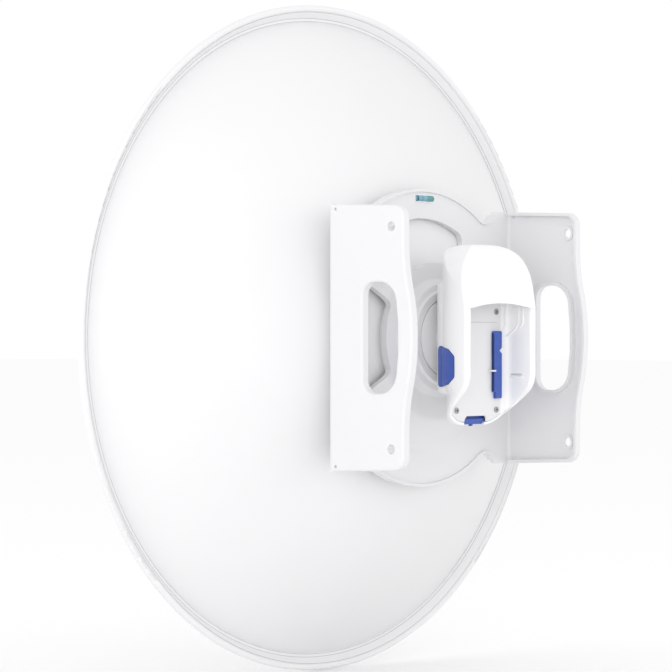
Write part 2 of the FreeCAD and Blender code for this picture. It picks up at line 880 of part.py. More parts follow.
def feed_seal():
    """Ring seal between the hub flange and the feed tube's ring nut."""
    centre_y = -hub_face_depth + flange_disc_thickness + lock_ring_height * 2 + seal_ring_radius
    return Part.makeTorus(feed_tube_radius + seal_ring_radius, seal_ring_radius,
                          Vector(0, centre_y, 0), Y_AXIS)


# ---------------------------------------------------------------- radio pod
def pod_elevation(inset):
    """Pod seen along the beam: wide rounded top corners and a rounder chin."""
    half = pod_half_width - inset
    top = pod_top_z - inset
    bottom = pod_bottom_z + inset
    chin = pod_chin_round - inset
    crown = pod_top_round - inset
    return [(-half, bottom, chin), (half, bottom, chin), (half, top, crown), (-half, top, crown)]


def pod_plan(inset, step=0.0):
    half = pod_half_width - inset
    front = -pod_front_depth - inset - step
    rear = -pod_rear_depth + inset
    corner = pod_side_round - inset
    back = max(pod_rear_round - inset, least_round)
    return [(-half, front, corner), (half, front, corner), (half, rear, back), (-half, rear, back)]


def pod_side(inset):
    """Pod seen from the side, without the slope of the cable bay's side walls."""
    front = -pod_front_depth - inset
    rear = -pod_rear_depth + inset
    top = pod_top_z - inset
    bottom = pod_bottom_z + inset
    return [(front, bottom, front_chin_round - inset), (front, top, front_top_round - inset),
            (rear + hood_lean, top, hood_top_round - inset), (rear, hood_rim_z, 0), (rear, bottom, 0)]


def blended(core, growth):
    """A core grown outwards, with every edge that stands out rounded by the growth."""
    return core.makeOffsetShape(growth, growth_tolerance, False, False, 0, 0, False)


def pod_core(inset):
    """The pod's body with plain creases where its faces meet."""
    tall = prism(pod_elevation(inset), on_xz, -far, far)
    long = prism(pod_side(inset), on_yz, -far, far)
    slope = math.atan2(chin_step, chin_step_top_z - chin_step_bottom_z)
    rise = inset * math.tan(slope / 2)
    upper = prism(pod_plan(inset), on_xy, chin_step_top_z + rise, far)
    lower = prism(pod_plan(inset, chin_step), on_xy, -far, chin_step_bottom_z + rise)
    step_top = rounded_wire(pod_plan(inset), on_xy)
    step_top.translate(Z_AXIS * (chin_step_top_z + rise))
    step_bottom = rounded_wire(pod_plan(inset, chin_step), on_xy)
    step_bottom.translate(Z_AXIS * (chin_step_bottom_z + rise))
    step = Part.makeLoft([step_bottom, step_top], True, True)
    deep = joined([upper, step, lower])
    return tall.common(deep).common(long)


def pod_body(inset):
    """The pod's body, its skin drawn in by an inset."""
    if inset >= pod_blend:
        return pod_core(inset)
    return blended(pod_core(pod_blend), pod_blend - inset)


def nose_core(inset):
    """The nose with square upper and lower edges."""
    half = nose_half_width - inset
    front = -nose_front_depth - inset
    corner = nose_round - inset
    rear = front - corner - nose_overlap - inset
    plan = [(-half, front, corner), (half, front, corner), (half, rear, 0), (-half, rear, 0)]
    height = nose_half_height - inset
    return prism(plan, on_xy, -height, height)


def nose_body(inset):
    """The narrower nose that faces the bracket's hub."""
    if inset >= nose_blend:
        return nose_core(inset)
    return blended(nose_core(nose_blend), nose_blend - inset)


def front_half(shape):
    return shape.common(box((-far, far), (split_y, far), (-far, far)))


def rear_half(shape):
    return shape.common(box((-far, far), (-far, split_y), (-far, far)))


def pod_solid(inset):
    return joined([pod_body(inset), nose_body(inset)])


def button_outline(grow):
    front = -button_front_depth + grow
    rear = -button_rear_depth - grow
    tall = button_front_half_height + grow
    short = button_rear_half_height + grow
    rounding = button_round + grow
    knee = rear + (button_front_half_height - button_rear_half_height) * 0.9
    half = [(front, tall, rounding), (knee, (tall + short) / 2 + button_bend, rounding),
            (rear, short, rounding)]
    outline = half + [(u, -v, radius) for u, v, radius in reversed(half)]
    return [(u, v + button_z, radius) for u, v, radius in outline]


def button_core():
    """What lies inside the left button's cap."""
    inset = button_thickness - button_proud
    return joined([pod_body(inset), nose_body(inset)])


def button_room():
    """Room for the caps of both buttons through their whole travel."""
    room = prism(button_outline(slide_gap), on_yz, -far, -button_room_inner_x)
    core = button_core()
    core.translate(X_AXIS * (button_travel + slide_gap))
    return both_sides(room.cut(core))


def both_sides(shape):
    return Part.makeCompound([shape, mirrored(shape)])


def panel_screw_places():
    places = []
    for x in (-panel_screw_x, panel_screw_x):
        for z in (panel_screw_bottom_z, panel_screw_top_z):
            places.append((x, z))
    return places


def pod_front_shell():
    """Front half of the pod, with the socket for the spigot and the screw posts."""
    shell = front_half(pod_solid(0)).cut(front_half(pod_solid(pod_wall)))
    inside = front_half(pod_solid(pod_wall / 2))
    post_front = -panel_rear_depth + panel_screw_length + 4
    for x, z in panel_screw_places():
        post = rod(panel_post_radius, Vector(x, split_y, z), Y_AXIS, far).common(inside)
        shell = shell.fuse(post)
        shell = shell.cut(rod(panel_screw_radius, Vector(x, split_y - 1, z), Y_AXIS,
                              post_front - split_y + 1))
    seat_top = spring_z + spring_coil_radius * 2
    seat = box((-spring_seat_x - spring_seat_wall, -spring_seat_x), (split_y + 0.5, 0),
               (spring_z - spring_coil_radius * 2, seat_top)).common(inside)
    stop = box((-tab_stem_half_width - 3, tab_stem_half_width + 3), (-tab_stem_depth - 3, 0),
               (tab_stop_z(), tab_stop_z() + tab_stop_thickness)).common(inside)
    shell = joined([shell, seat, mirrored(seat), stop]).cut(tab_room(tab_travel))
    socket = rod(spigot_radius + seat_gap, Vector(0, -far, 0), Y_AXIS, far)
    return shell.cut(socket).cut(button_room()).cut(chin_slope()).removeSplitter()


def bay_space():
    """The cable bay: open to the rear, with a thin wall left around its half-round chin."""
    half = bay_half_width
    plan = [(-half, -panel_rear_depth, bay_corner_round), (half, -panel_rear_depth, bay_corner_round),
            (half, -far, 0), (-half, -far, 0)]
    column = prism(plan, on_xy, -far, bay_ceiling_z)
    return column.common(prism(pod_elevation(chin_wall), on_xz, -far, far))


def rim_rounding():
    """What is cut off the inner rear edges of the bay's side walls to round them."""
    radius = pod_rear_round
    corner = box((bay_half_width, bay_half_width + radius), (-pod_rear_depth, -pod_rear_depth + radius),
                 (-far, hood_rim_z))
    centre = Vector(bay_half_width + radius, -pod_rear_depth + radius, -far)
    sliver = corner.cut(rod(radius, centre, Z_AXIS, 2 * far))
    return both_sides(sliver)


def chin_slope():
    """What is cut off the rear of the side walls below the hood."""
    rear = -pod_rear_depth
    return prism([
        (-far, hood_rim_z, 0), (rear + wall_rear_inset, hood_rim_z, 0),
        (rear, wall_bend_z, wall_bend_round), (rear, chin_top_z, chin_top_round),
        (-chin_depth, chin_z, chin_round),
        (-panel_rear_depth, pod_bottom_z + chin_toe_height, chin_toe_round),
        (-panel_rear_depth + chin_toe_lean, pod_bottom_z, 0),
        (-panel_rear_depth + chin_toe_lean, -far, 0), (-far, -far, 0),
    ], on_yz, -far, far)


def hood_mouth():
    """The arched lower edge of the hood, cut through its rear wall."""
    steps = 8
    points = []
    for step in range(steps + 1):
        x = -bay_half_width + 2 * bay_half_width * step / steps
        points.append(Vector(x, 0, hood_rim_z + hood_arch * (1 - (x / bay_half_width) ** 2)))
    curve = Part.BSplineCurve()
    curve.interpolate(points)
    low_left = Vector(-bay_half_width, 0, -far)
    low_right = Vector(bay_half_width, 0, -far)
    edges = [curve.toShape(), Part.LineSegment(points[-1], low_right).toShape(),
             Part.LineSegment(low_right, low_left).toShape(),
             Part.LineSegment(low_left, points[0]).toShape()]
    face = Part.Face(Part.Wire(edges))
    face.translate(Vector(0, -far, 0))
    return face.extrude(Vector(0, far - pod_rear_depth + pod_wall + 3, 0))


def pod_housing():
    """Rear half of the pod: the hood above and the side walls of the cable bay."""
    outside = rear_half(pod_body(0))
    wall = pod_wall
    hood_inside = rear_half(pod_body(wall)).common(
        box((-far, far), (-far, far), (bay_ceiling_z + ceiling_thickness, far)))
    bay = bay_space().common(box((-far, far), (-pod_rear_depth + wall, far), (-far, far)))
    body = outside.cut(hood_inside).cut(bay).cut(hood_mouth()).cut(rim_rounding()).cut(chin_slope())
    panel_room = prism(pod_elevation(wall), on_xz, -panel_rear_depth - panel_fit, split_y)
    body = body.cut(panel_room.common(pod_body(wall)))
    pocket_inner = bay_half_width + wall
    pocket_outer = pod_half_width - wall
    pocket = box((-pocket_outer, -pocket_inner), (-pod_rear_depth + pod_rear_round + 2, split_y),
                 (pod_bottom_z + pod_half_width, bay_ceiling_z - 6))
    pocket = pocket.common(rear_half(pod_body(wall)))
    body = body.cut(pocket).cut(mirrored(pocket))
    body = body.cut(button_room())
    for port in port_mouths():
        body = body.cut(port)
    return body.cut(tab_room(tab_travel)).removeSplitter()


def bay_panel():
    """Panel at the back of the cable bay, screwed to the front shell."""
    margin = pod_wall + seat_gap
    panel = prism(pod_elevation(margin), on_xz, -panel_rear_depth, split_y).common(pod_body(margin))
    panel = panel.cut(button_room())
    for x, z in panel_screw_places():
        panel = panel.cut(rod(panel_screw_radius + hole_clearance, Vector(x, -far, z), Y_AXIS, far))
    keeper_rear = panel_rear_depth + slide_gap + slider_thickness + slide_gap
    foot = box((slider_x_low - keeper_length, slider_x_low - slide_gap),
               (-keeper_rear - keeper_thickness, -panel_rear_depth),
               (keeper_z - keeper_height / 2, keeper_z + keeper_height / 2))
    finger = box((slider_x_low - slide_gap, slider_x_low + keeper_reach),
                 (-keeper_rear - keeper_thickness, -keeper_rear),
                 (keeper_z - keeper_height / 2, keeper_z + keeper_height / 2))
    step = box((-bay_half_width + bay_corner_round, bay_half_width - bay_corner_round),
               (-panel_rear_depth - panel_step_height, -panel_rear_depth),
               (panel_step_z, bay_ceiling_z - seat_gap))
    for x, z in panel_screw_places():
        step = step.cut(rod(panel_screw_head_radius + hole_clearance, Vector(x, -far, z), Y_AXIS, far))
    panel = joined([panel, foot, finger, step])
    track = box((slider_neck_x - slide_gap, slider_neck_x + slider_neck_width + slide_gap), (-far, far),
                (slider_neck_z - slide_gap, slider_neck_z + slider_neck_length + slider_travel + slide_gap))
    return panel.cut(tab_room(tab_travel)).cut(track).cut(chin_slope())


def bay_screws():
    screws = []
    for x, z in panel_screw_places():
        rear = -panel_rear_depth
        head = rod(panel_screw_head_radius, Vector(x, rear - panel_screw_head_height, z), Y_AXIS,
                   panel_screw_head_height)
        shank = rod(panel_screw_radius, Vector(x, rear, z), Y_AXIS, panel_screw_length)
        slot = box((x - 0.4, x + 0.4), (rear - panel_screw_head_height, rear - 0.5),
                   (z - panel_screw_head_radius * 0.7, z + panel_screw_head_radius * 0.7))
        screws.append(head.fuse(shank).cut(slot))
    return Part.makeCompound(screws)


def housing_gasket():
    """Flat seal between the front shell and the bay panel."""
    outer = prism(pod_elevation(gasket_inset), on_xz, split_y, split_y + gasket_thickness)
    inner = prism(pod_elevation(gasket_inset + gasket_width), on_xz, split_y - 1,
                  split_y + gasket_thickness + 1)
    band = outer.cut(inner)
    return band


# ---------------------------------------------------------------- electronics
def radio_board():
    low = -board_depth - board_thickness
    outline = [(-board_half_width, board_bottom_z, board_corner),
               (board_half_width, board_bottom_z, board_corner),
               (board_half_width, board_top_z, board_top_corner),
               (-board_half_width, board_top_z, board_top_corner)]
    board = prism(outline, on_xz, low, -board_depth)
    return board


def shield_can():
    front = -board_depth + shield_height
    outer = box((-shield_half_width, shield_half_width), (-board_depth, front), (shield_z_low, shield_z_high))
    inner = box((-shield_half_width + shield_wall, shield_half_width - shield_wall),
                (-board_depth, front - shield_wall),
                (shield_z_low + shield_wall, shield_z_high - shield_wall))
    return outer.cut(inner)


def heat_spreader():
    front = -board_depth + shield_height
    return box((-shield_half_width, shield_half_width), (front, front + spreader_height),
               (shield_z_low, shield_z_high))


def wave_launcher():
    """Metal plug on the board that feeds the spigot."""
    return ring(launcher_radius - launcher_wall, launcher_radius, -board_depth, -launcher_depth).fuse(
        rod(launcher_radius, Vector(0, -board_depth, 0), Y_AXIS, launcher_floor))


def port_span(centre_x, width, near, depth):
    return (centre_x - width / 2, centre_x + width / 2), (-near - depth, -near)


def port_list():
    return [
        (data_port_x, data_port_width, data_port_height, data_port_depth),
        (fibre_port_x, fibre_port_width, fibre_port_height, fibre_port_depth),
    ]


def port_mouths():
    """Openings in the hood's floor for the ports."""
    mouths = []
    for centre_x, width, _, depth in port_list():
        x_span, y_span = port_span(centre_x, width, port_near_depth, depth)
        mouths.append(box(x_span, y_span, (bay_ceiling_z - 1, bay_ceiling_z + ceiling_thickness + 1)))
    return mouths


def port_body(centre_x, width, height, depth):
    """A socket that faces down through the hood's floor."""
    x_span, y_span = port_span(centre_x, width, port_near_depth, depth)
    body = box(x_span, y_span, (bay_ceiling_z, bay_ceiling_z + height))
    mouth = box((x_span[0] + port_wall, x_span[1] - port_wall),
                (y_span[0] + port_wall, y_span[1] - port_wall),
                (bay_ceiling_z - 1, bay_ceiling_z + port_mouth_depth))
    return body.cut(mouth)


def data_port():
    return port_body(*port_list()[0])


def fibre_port():
    return port_body(*port_list()[1])


def port_board():
    """Small board above the hood's floor that carries the two ports."""
    top = bay_ceiling_z + max(data_port_height, fibre_port_height)
    near = -port_near_depth
    x_low = data_port_x - data_port_width / 2
    x_high = fibre_port_x + fibre_port_width / 2
    low_z = bay_ceiling_z + ceiling_thickness + 1
    return box((x_low, x_high), (near, near + board_thickness), (low_z, top))


# ---------------------------------------------------------------- pieces that move
def release_button():
    """Left button: a curved cap flush with the pod's side, and the latch that it carries."""
    skin = joined([pod_body(-button_proud), nose_body(-button_proud)])
    shape = prism(button_outline(0), on_yz, -far, -spring_seat_x)
    return skin.cut(button_core()).common(shape)


def latch_plate(depth):
    """Plate whose far jaw sits in the groove of the spigot until its button is pressed."""
    low = -depth - latch_thickness
    high = -depth
    reach = pod_half_width
    blank = box((-reach, latch_far_reach), (low, high), (-latch_half_height, latch_half_height))
    blank = blank.cut(box((-reach, -latch_far_reach - button_travel), (low - 1, high + 1),
                          (latch_arm_high, far)))
    arm = box((-reach, -latch_far_reach), (low, high), (latch_arm_low, latch_arm_high))
    blank = blank.fuse(arm)
    jaw_x = spigot_groove_radius + latch_jaw_gap
    rest_x = jaw_x - latch_hole_radius
    for centre_x in (rest_x, rest_x - button_travel):
        blank = blank.cut(rod(latch_hole_radius, Vector(centre_x, low - 1, 0), Y_AXIS, latch_thickness + 2))
    bridge = box((rest_x - button_travel, rest_x), (low - 1, high + 1),
                 (-latch_hole_radius, latch_hole_radius))
    blank = blank.cut(bridge)
    return blank.common(button_core())


def coil_spring(length):
    """A compression spring along +X from the origin."""
    pitch = (length - 2 * spring_wire_radius) / spring_turns
    helix = Part.makeHelix(pitch, pitch * spring_turns, spring_coil_radius - spring_wire_radius)
    profile_centre = Vector(spring_coil_radius - spring_wire_radius, 0, 0)
    circle = Part.Wire(Part.Circle(profile_centre, Y_AXIS, spring_wire_radius).toShape())
    coil = Part.Wire(helix).makePipeShell([circle], True, True)
    coil.rotate(ORIGIN, Y_AXIS, 90)
    coil.translate(X_AXIS * spring_wire_radius)
    return coil


def button_spring():
    """Left button's return spring, from its seat to the back of the button."""
    shallow_y = -spring_depth + spring_coil_radius
    ray = Part.LineSegment(Vector(-far, shallow_y, spring_z), Vector(0, shallow_y, spring_z)).toShape()
    back_x = -button_core().common(ray).BoundBox.XMin - spring_end_gap
    seat_x = spring_seat_x + spring_seat_wall
    coil = coil_spring(back_x - seat_x)
    coil.translate(Vector(-back_x, -spring_depth, spring_z))
    return coil


def lock_slider():
    """Flat bar on the bay panel that slides up and down under its keeper."""
    rear = -panel_rear_depth - slide_gap - slider_thickness
    front = rear + slider_thickness
    outline = [(slider_x_low, slider_z_low, slider_round), (slider_x_high, slider_z_low, slider_round),
               (slider_x_high, slider_z_high, slider_round), (slider_x_low, slider_z_high, slider_round)]
    bar = prism(outline, on_xz, rear, front)
    rim = [edge for edge in bar.Edges if edge.BoundBox.YMax < rear + least_round]
    bar = bar.makeChamfer(slider_bevel, rim)
    notch = prism([(slider_x_high + 1, slider_notch_z - slider_notch, 0),
                   (slider_x_high + 1, slider_notch_z + slider_notch, 0),
                   (slider_x_high - slider_notch, slider_notch_z, 0)], on_xz, rear - 1, front + 1)
    step = box((slider_x_low - 1, slider_x_low + slider_step_width), (rear - 1, front + 1),
               (slider_z_low - 1, slider_z_low + slider_step_height))
    neck_x = (slider_neck_x, slider_neck_x + slider_neck_width)
    neck_z = (slider_neck_z, slider_neck_z + slider_neck_length)
    margin = slider_foot_margin
    foot_y = split_y + slide_gap
    neck = box(neck_x, (front - 1, foot_y), neck_z)
    foot = box((neck_x[0] - margin, neck_x[1] + margin), (foot_y, foot_y + slider_foot_thickness), neck_z)
    return joined([bar.cut(notch).cut(step), neck, foot])


def tab_stop_z():
    return tab_stem_top_z + tab_spring_length


def tab_face(grow, rise):
    """The tab seen from behind, grown on every side and lengthened upwards by a rise."""
    middle = (tab_z_high + tab_z_low) / 2
    top = tab_z_high + grow + rise
    wide = tab_half_width + grow
    narrow = tab_top_half_width + grow
    right = [(narrow, top, 0), (wide, middle, 1), (narrow, tab_z_low - 1, 0)]
    if rise > 0:
        right.insert(1, (wide, middle + rise, 1))
    return right + [(-u, v, radius) for u, v, radius in reversed(right)]


def tab_room(rise):
    """Room for the tab through its travel: out through the chin and the panel's lower edge."""
    front = -tab_rear_depth + tab_slope + tab_thickness + slide_gap
    return prism(tab_face(slide_gap, rise), on_xz, -far, front)


def release_tab():
    """Tab at the chin that is pushed up against its spring by a stem inside the pod."""
    rear = -tab_rear_depth
    front = rear + tab_thickness
    side = [(rear, tab_z_high, 0.8), (rear + tab_slope, tab_z_low, 0.8),
            (front + tab_slope, tab_z_low, 0), (front, tab_z_high, 0)]
    plate = prism(side, on_yz, -tab_half_width, tab_half_width)
    plate = plate.common(prism(tab_face(0, 0), on_xz, -far, far))
    nib = box((-tab_nib_half_width, tab_nib_half_width), (rear + tab_slope, front + tab_slope),
              (tab_z_low - tab_nib, tab_z_low + tab_nib))
    foot = box((-tab_stem_half_width, tab_stem_half_width), (front - 1, -tab_stem_depth),
               (tab_z_high - tab_stem_thickness, tab_z_high))
    stem = box((-tab_stem_half_width, tab_stem_half_width),
               (-tab_stem_depth - tab_stem_thickness, -tab_stem_depth),
               (tab_z_high - tab_stem_thickness, tab_stem_top_z))
    apron = box((-tab_apron_half_width, tab_apron_half_width), (front - 0.5, front + tab_apron_thickness),
                (tab_z_high - tab_apron_drop, tab_z_high + slide_gap + tab_travel + tab_apron_lap))
    return joined([plate, nib, foot, stem, apron])


def tab_spring():
    """Return spring of the tab, between its stem and the stop in the front shell."""
    pitch = (tab_spring_length - 2 * spring_wire_radius) / spring_turns
    coil_radius = tab_spring_radius - spring_wire_radius
    helix = Part.makeHelix(pitch, pitch * spring_turns, coil_radius)
    circle = Part.Circle(Vector(coil_radius, 0, 0), Y_AXIS, spring_wire_radius)
    coil = Part.Wire(helix).makePipeShell([Part.Wire(circle.toShape())], True, True)
    middle_y = -tab_stem_depth - tab_stem_thickness / 2
    coil.translate(Vector(0, middle_y, tab_stem_top_z + spring_wire_radius))
    return coil


# ---------------------------------------------------------------- output
def main():
    os.makedirs("parts", exist_ok=True)
    left_latch = latch_plate(latch_left_depth)
    right_latch = mirrored(latch_plate(latch_right_depth))
    left_button = release_button()
    spring = button_spring()
    nodes = {
        "dish_reflector": dish_reflector(),
        "hub_spacer_ring": hub_spacer_ring(),
        "hub_backing_ring": hub_backing_ring(),
        "mounting_bracket": mounting_bracket(),
        "hub_screws": hub_screws(),
        "hub_washers": hub_washers(),
        "hub_nuts": hub_nuts(),
        "level_holder": level_holder(),
        "level_vial": level_vial(),
        "level_bubble": level_bubble(),
        "feed_flange": feed_flange(),
        "feed_flange_screws": feed_flange_screws(),
        "feed_tube": feed_tube(),
        "feed_lock_ring": feed_lock_ring(),
        "feed_seal": feed_seal(),
        "subreflector_support": subreflector_support(),
        "subreflector": subreflector(),
        "feed_radome": feed_radome(),
        "pod_front_shell": pod_front_shell(),
        "pod_housing": pod_housing(),
        "bay_panel": bay_panel(),
        "bay_screws": bay_screws(),
        "housing_gasket": housing_gasket(),
        "radio_board": radio_board(),
        "shield_can": shield_can(),
        "heat_spreader": heat_spreader(),
        "wave_launcher": wave_launcher(),
        "data_port": data_port(),
        "fibre_port": fibre_port(),
        "port_board": port_board(),
        "release_button_left": left_button,
        "release_button_right": mirrored(left_button),
        "latch_plate_left": left_latch,
        "latch_plate_right": right_latch,
        "button_spring_left": spring,
        "button_spring_right": mirrored(spring),
        "lock_slider": lock_slider(),
        "release_tab": release_tab(),
        "tab_spring": tab_spring(),
    }
    for name, shape in nodes.items():
        shape.exportStep(f"parts/{name}.step")
        solids = len(shape.Solids)
        print(f"{name:24s} solids {solids} valid {shape.isValid()} volume {shape.Volume / 1000:9.2f} cm3")


main()
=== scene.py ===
"""Looks of an outdoor wireless bridge: its finishes, its small trim, the studio and the camera.

The CAD nodes keep their shape and get a finish each. The trim that the CAD leaves out, such as
ribs and teeth, is modelled here on the faces that the CAD gives. Dark lines and crosses are
painted shade where the panel's step, the rim's creases, the clip's slot and the screw recesses
fall dark; the slider's teeth are a deeper blue and the bay's panel a greyer white as painted
shade. The return springs are copies of their CAD shape.
"""

import json
import logging
import math
from collections.abc import Callable
from dataclasses import dataclass, field
from enum import Enum

import bmesh
import bpy
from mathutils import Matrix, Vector


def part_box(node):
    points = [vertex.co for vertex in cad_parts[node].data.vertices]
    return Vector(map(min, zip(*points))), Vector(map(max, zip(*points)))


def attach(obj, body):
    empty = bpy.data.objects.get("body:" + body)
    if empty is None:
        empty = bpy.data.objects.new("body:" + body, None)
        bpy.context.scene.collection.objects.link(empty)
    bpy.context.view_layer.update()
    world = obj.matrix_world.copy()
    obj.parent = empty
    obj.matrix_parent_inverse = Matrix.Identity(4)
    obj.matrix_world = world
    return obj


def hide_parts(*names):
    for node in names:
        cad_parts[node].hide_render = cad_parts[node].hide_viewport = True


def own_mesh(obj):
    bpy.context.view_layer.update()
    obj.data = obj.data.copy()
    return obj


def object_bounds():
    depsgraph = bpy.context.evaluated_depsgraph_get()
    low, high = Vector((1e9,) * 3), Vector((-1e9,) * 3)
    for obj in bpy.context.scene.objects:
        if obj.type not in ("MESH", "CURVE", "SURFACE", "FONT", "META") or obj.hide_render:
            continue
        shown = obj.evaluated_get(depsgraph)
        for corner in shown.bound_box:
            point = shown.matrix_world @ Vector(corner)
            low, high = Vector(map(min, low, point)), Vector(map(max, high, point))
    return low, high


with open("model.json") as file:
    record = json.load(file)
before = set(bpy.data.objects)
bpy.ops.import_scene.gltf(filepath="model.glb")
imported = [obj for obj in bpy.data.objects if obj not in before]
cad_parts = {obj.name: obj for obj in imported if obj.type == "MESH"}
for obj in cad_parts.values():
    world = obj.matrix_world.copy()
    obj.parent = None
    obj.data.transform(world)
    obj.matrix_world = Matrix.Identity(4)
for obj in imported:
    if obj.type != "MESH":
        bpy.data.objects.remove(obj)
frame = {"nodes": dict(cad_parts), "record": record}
CAD_BOX = [list(corner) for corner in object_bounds()]

log = logging.getLogger("wireless_bridge")

MM = 0.001
Rgb = tuple[float, float, float]
Point = tuple[float, float, float]
Flat = tuple[float, float]
Rule = Callable[[Vector, Vector], bool]

COAT_ROUGHNESS = 0.12
DRIFT_SCALE = 9.0
DRIFT_DETAIL = 3.0
DRIFT_RANGE = (0.3, 0.7)
GRAIN_DETAIL = 2.0
GRAIN_DEPTH = 0.0002
MERGE_MM = 0.002


class Body(Enum):
    """The CAD bodies that pieces ride on."""

    BRIDGE = "bridge"
    LEFT_RELEASE = "left_release"
    RIGHT_RELEASE = "right_release"
    LOCK = "lock"


class Slot(Enum):
    """The record's material slots."""

    DISH = "dish_white"
    BRACKET = "bracket_white"
    STEEL = "steel"
    ALUMINIUM = "bare_aluminium"
    POD = "pod_white"
    INNER = "inner_plastic"
    BLUE = "release_blue"
    SEAL = "seal_rubber"
    BOARD = "board_green"
    VIAL = "vial_teal"
    BUBBLE = "bubble_clear"


@dataclass(frozen=True)
class Finish:
    """A surface finish: its colour, gloss and the fine relief that catches the light.

    Args:
        slot: The record's slot that the finish belongs to.
        colour: Linear base colour.
        roughness: Roughness of the surface.
        metallic: 1 on bare metal.
        coat: Weight of the clear gloss over the colour.
        grain_mm: Size of the relief's grain, or 0 for a smooth surface.
        relief: Strength of the relief.
        mottle: How far the colour drifts over the surface.
        transmission: 1 on clear material.
        name: The material's name where it isn't the slot's.
    """

    slot: Slot
    colour: Rgb
    roughness: float
    metallic: float = 0.0
    coat: float = 0.0
    grain_mm: float = 0.0
    relief: float = 0.0
    mottle: float = 0.0
    transmission: float = 0.0
    name: str = ""

    def material(self) -> bpy.types.Material:
        """Makes the finish's node material.

        Returns:
            The material.
        """
        made = bpy.data.materials.new(self.name or self.slot.value)
        made.use_nodes = True
        tree = made.node_tree
        shader = tree.nodes["Principled BSDF"]
        shader.inputs["Base Color"].default_value = (*self.colour, 1.0)
        shader.inputs["Roughness"].default_value = self.roughness
        shader.inputs["Metallic"].default_value = self.metallic
        shader.inputs["Coat Weight"].default_value = self.coat
        shader.inputs["Coat Roughness"].default_value = COAT_ROUGHNESS
        shader.inputs["Transmission Weight"].default_value = self.transmission
        if self.mottle or self.relief:
            place = tree.nodes.new("ShaderNodeTexCoord").outputs["Object"]
        if self.mottle:
            self._drift(tree, place, shader)
        if self.relief:
            self._grain(tree, place, shader)
        return made

    def _drift(self, tree: bpy.types.NodeTree, place: bpy.types.NodeSocket,
               shader: bpy.types.Node) -> None:
        """Lets the colour drift a little, as a sprayed or moulded surface does."""
        cloud = tree.nodes.new("ShaderNodeTexNoise")
        cloud.inputs["Scale"].default_value = DRIFT_SCALE
        cloud.inputs["Detail"].default_value = DRIFT_DETAIL
        ramp = tree.nodes.new("ShaderNodeValToRGB")
        darker = tuple(channel * (1.0 - self.mottle) for channel in self.colour)
        stops = zip(ramp.color_ramp.elements, DRIFT_RANGE, (darker, self.colour))
        for stop, position, colour in stops:
            stop.position = position
            stop.color = (*colour, 1.0)
        tree.links.new(place, cloud.inputs["Vector"])
        tree.links.new(cloud.outputs["Fac"], ramp.inputs["Fac"])
        tree.links.new(ramp.outputs["Color"], shader.inputs["Base Color"])

    def _grain(self, tree: bpy.types.NodeTree, place: bpy.types.NodeSocket,
               shader: bpy.types.Node) -> None:
        """Adds the finish's fine relief as a bump."""
        noise = tree.nodes.new("ShaderNodeTexNoise")
        noise.inputs["Scale"].default_value = 1.0 / (self.grain_mm * MM)
        noise.inputs["Detail"].default_value = GRAIN_DETAIL
        bump = tree.nodes.new("ShaderNodeBump")
        bump.inputs["Strength"].default_value = self.relief
        bump.inputs["Distance"].default_value = GRAIN_DEPTH
        tree.links.new(place, noise.inputs["Vector"])
        tree.links.new(noise.outputs["Fac"], bump.inputs["Height"])
        tree.links.new(bump.outputs["Normal"], shader.inputs["Normal"])


FINISHES = (
    Finish(Slot.DISH, (0.80, 0.80, 0.808), 0.45, grain_mm=1.6, relief=0.10, mottle=0.012),
    Finish(Slot.BRACKET, (0.765, 0.765, 0.778), 0.48, grain_mm=1.4, relief=0.12, mottle=0.012),
    Finish(Slot.STEEL, (0.42, 0.43, 0.44), 0.32, metallic=1.0, grain_mm=0.6, relief=0.1),
    Finish(Slot.ALUMINIUM, (0.62, 0.63, 0.65), 0.38, metallic=1.0, grain_mm=0.8, relief=0.1),
    Finish(Slot.POD, (0.88, 0.88, 0.888), 0.3, coat=0.2, mottle=0.006),
    Finish(Slot.INNER, (0.62, 0.62, 0.635), 0.5, grain_mm=0.5, relief=0.12),
    Finish(Slot.BLUE, (0.040, 0.095, 0.42), 0.42, grain_mm=0.4, relief=0.12, mottle=0.06),
    Finish(Slot.SEAL, (0.022, 0.022, 0.024), 0.7, grain_mm=0.5, relief=0.15),
    Finish(Slot.BOARD, (0.03, 0.115, 0.045), 0.4, coat=0.3, mottle=0.2),
    Finish(Slot.VIAL, (0.20, 0.46, 0.57), 0.1, coat=0.5, transmission=0.15, mottle=0.03),
    Finish(Slot.BUBBLE, (0.80, 0.93, 0.92), 0.06, coat=0.6, transmission=0.5, mottle=0.02),
    # painted shade: the slider's teeth are modelled, and this deeper blue for them stands in for
    # the shade on the slider's left side
    Finish(Slot.BLUE, (0.010, 0.026, 0.15), 0.6, grain_mm=0.4, relief=0.1, mottle=0.05,
           name="shaded_blue"),
    Finish(Slot.VIAL, (0.03, 0.10, 0.15), 0.3, mottle=0.05, name="vial_plug"),
    Finish(Slot.VIAL, (0.10, 0.30, 0.30), 0.25, coat=0.3, mottle=0.05, name="vial_sleeve"),
    # painted shade: a greyer copy of the pod's white for the cable bay's panel, standing in for
    # the shade inside the bay
    Finish(Slot.POD, (0.76, 0.76, 0.77), 0.42, grain_mm=0.5, relief=0.08, mottle=0.01,
           name="bay_shaded_white"),
    Finish(Slot.INNER, (0.58, 0.58, 0.595), 0.6, mottle=0.04, name="shade"),
    # painted shade: grey for the thin lines laid in the rim's creases, standing in for the shade
    # there
    Finish(Slot.DISH, (0.56, 0.56, 0.575), 0.6, mottle=0.04, name="crease_shade"),
    # painted shade: near-black for the crosses on the screw heads, standing in for the shade in
    # their recesses
    Finish(Slot.STEEL, (0.10, 0.10, 0.105), 0.45, metallic=1.0, mottle=0.05, name="recess_shade_steel"),
    Finish(Slot.STEEL, (0.85, 0.62, 0.26), 0.28, metallic=1.0, mottle=0.03, name="gold"),
)


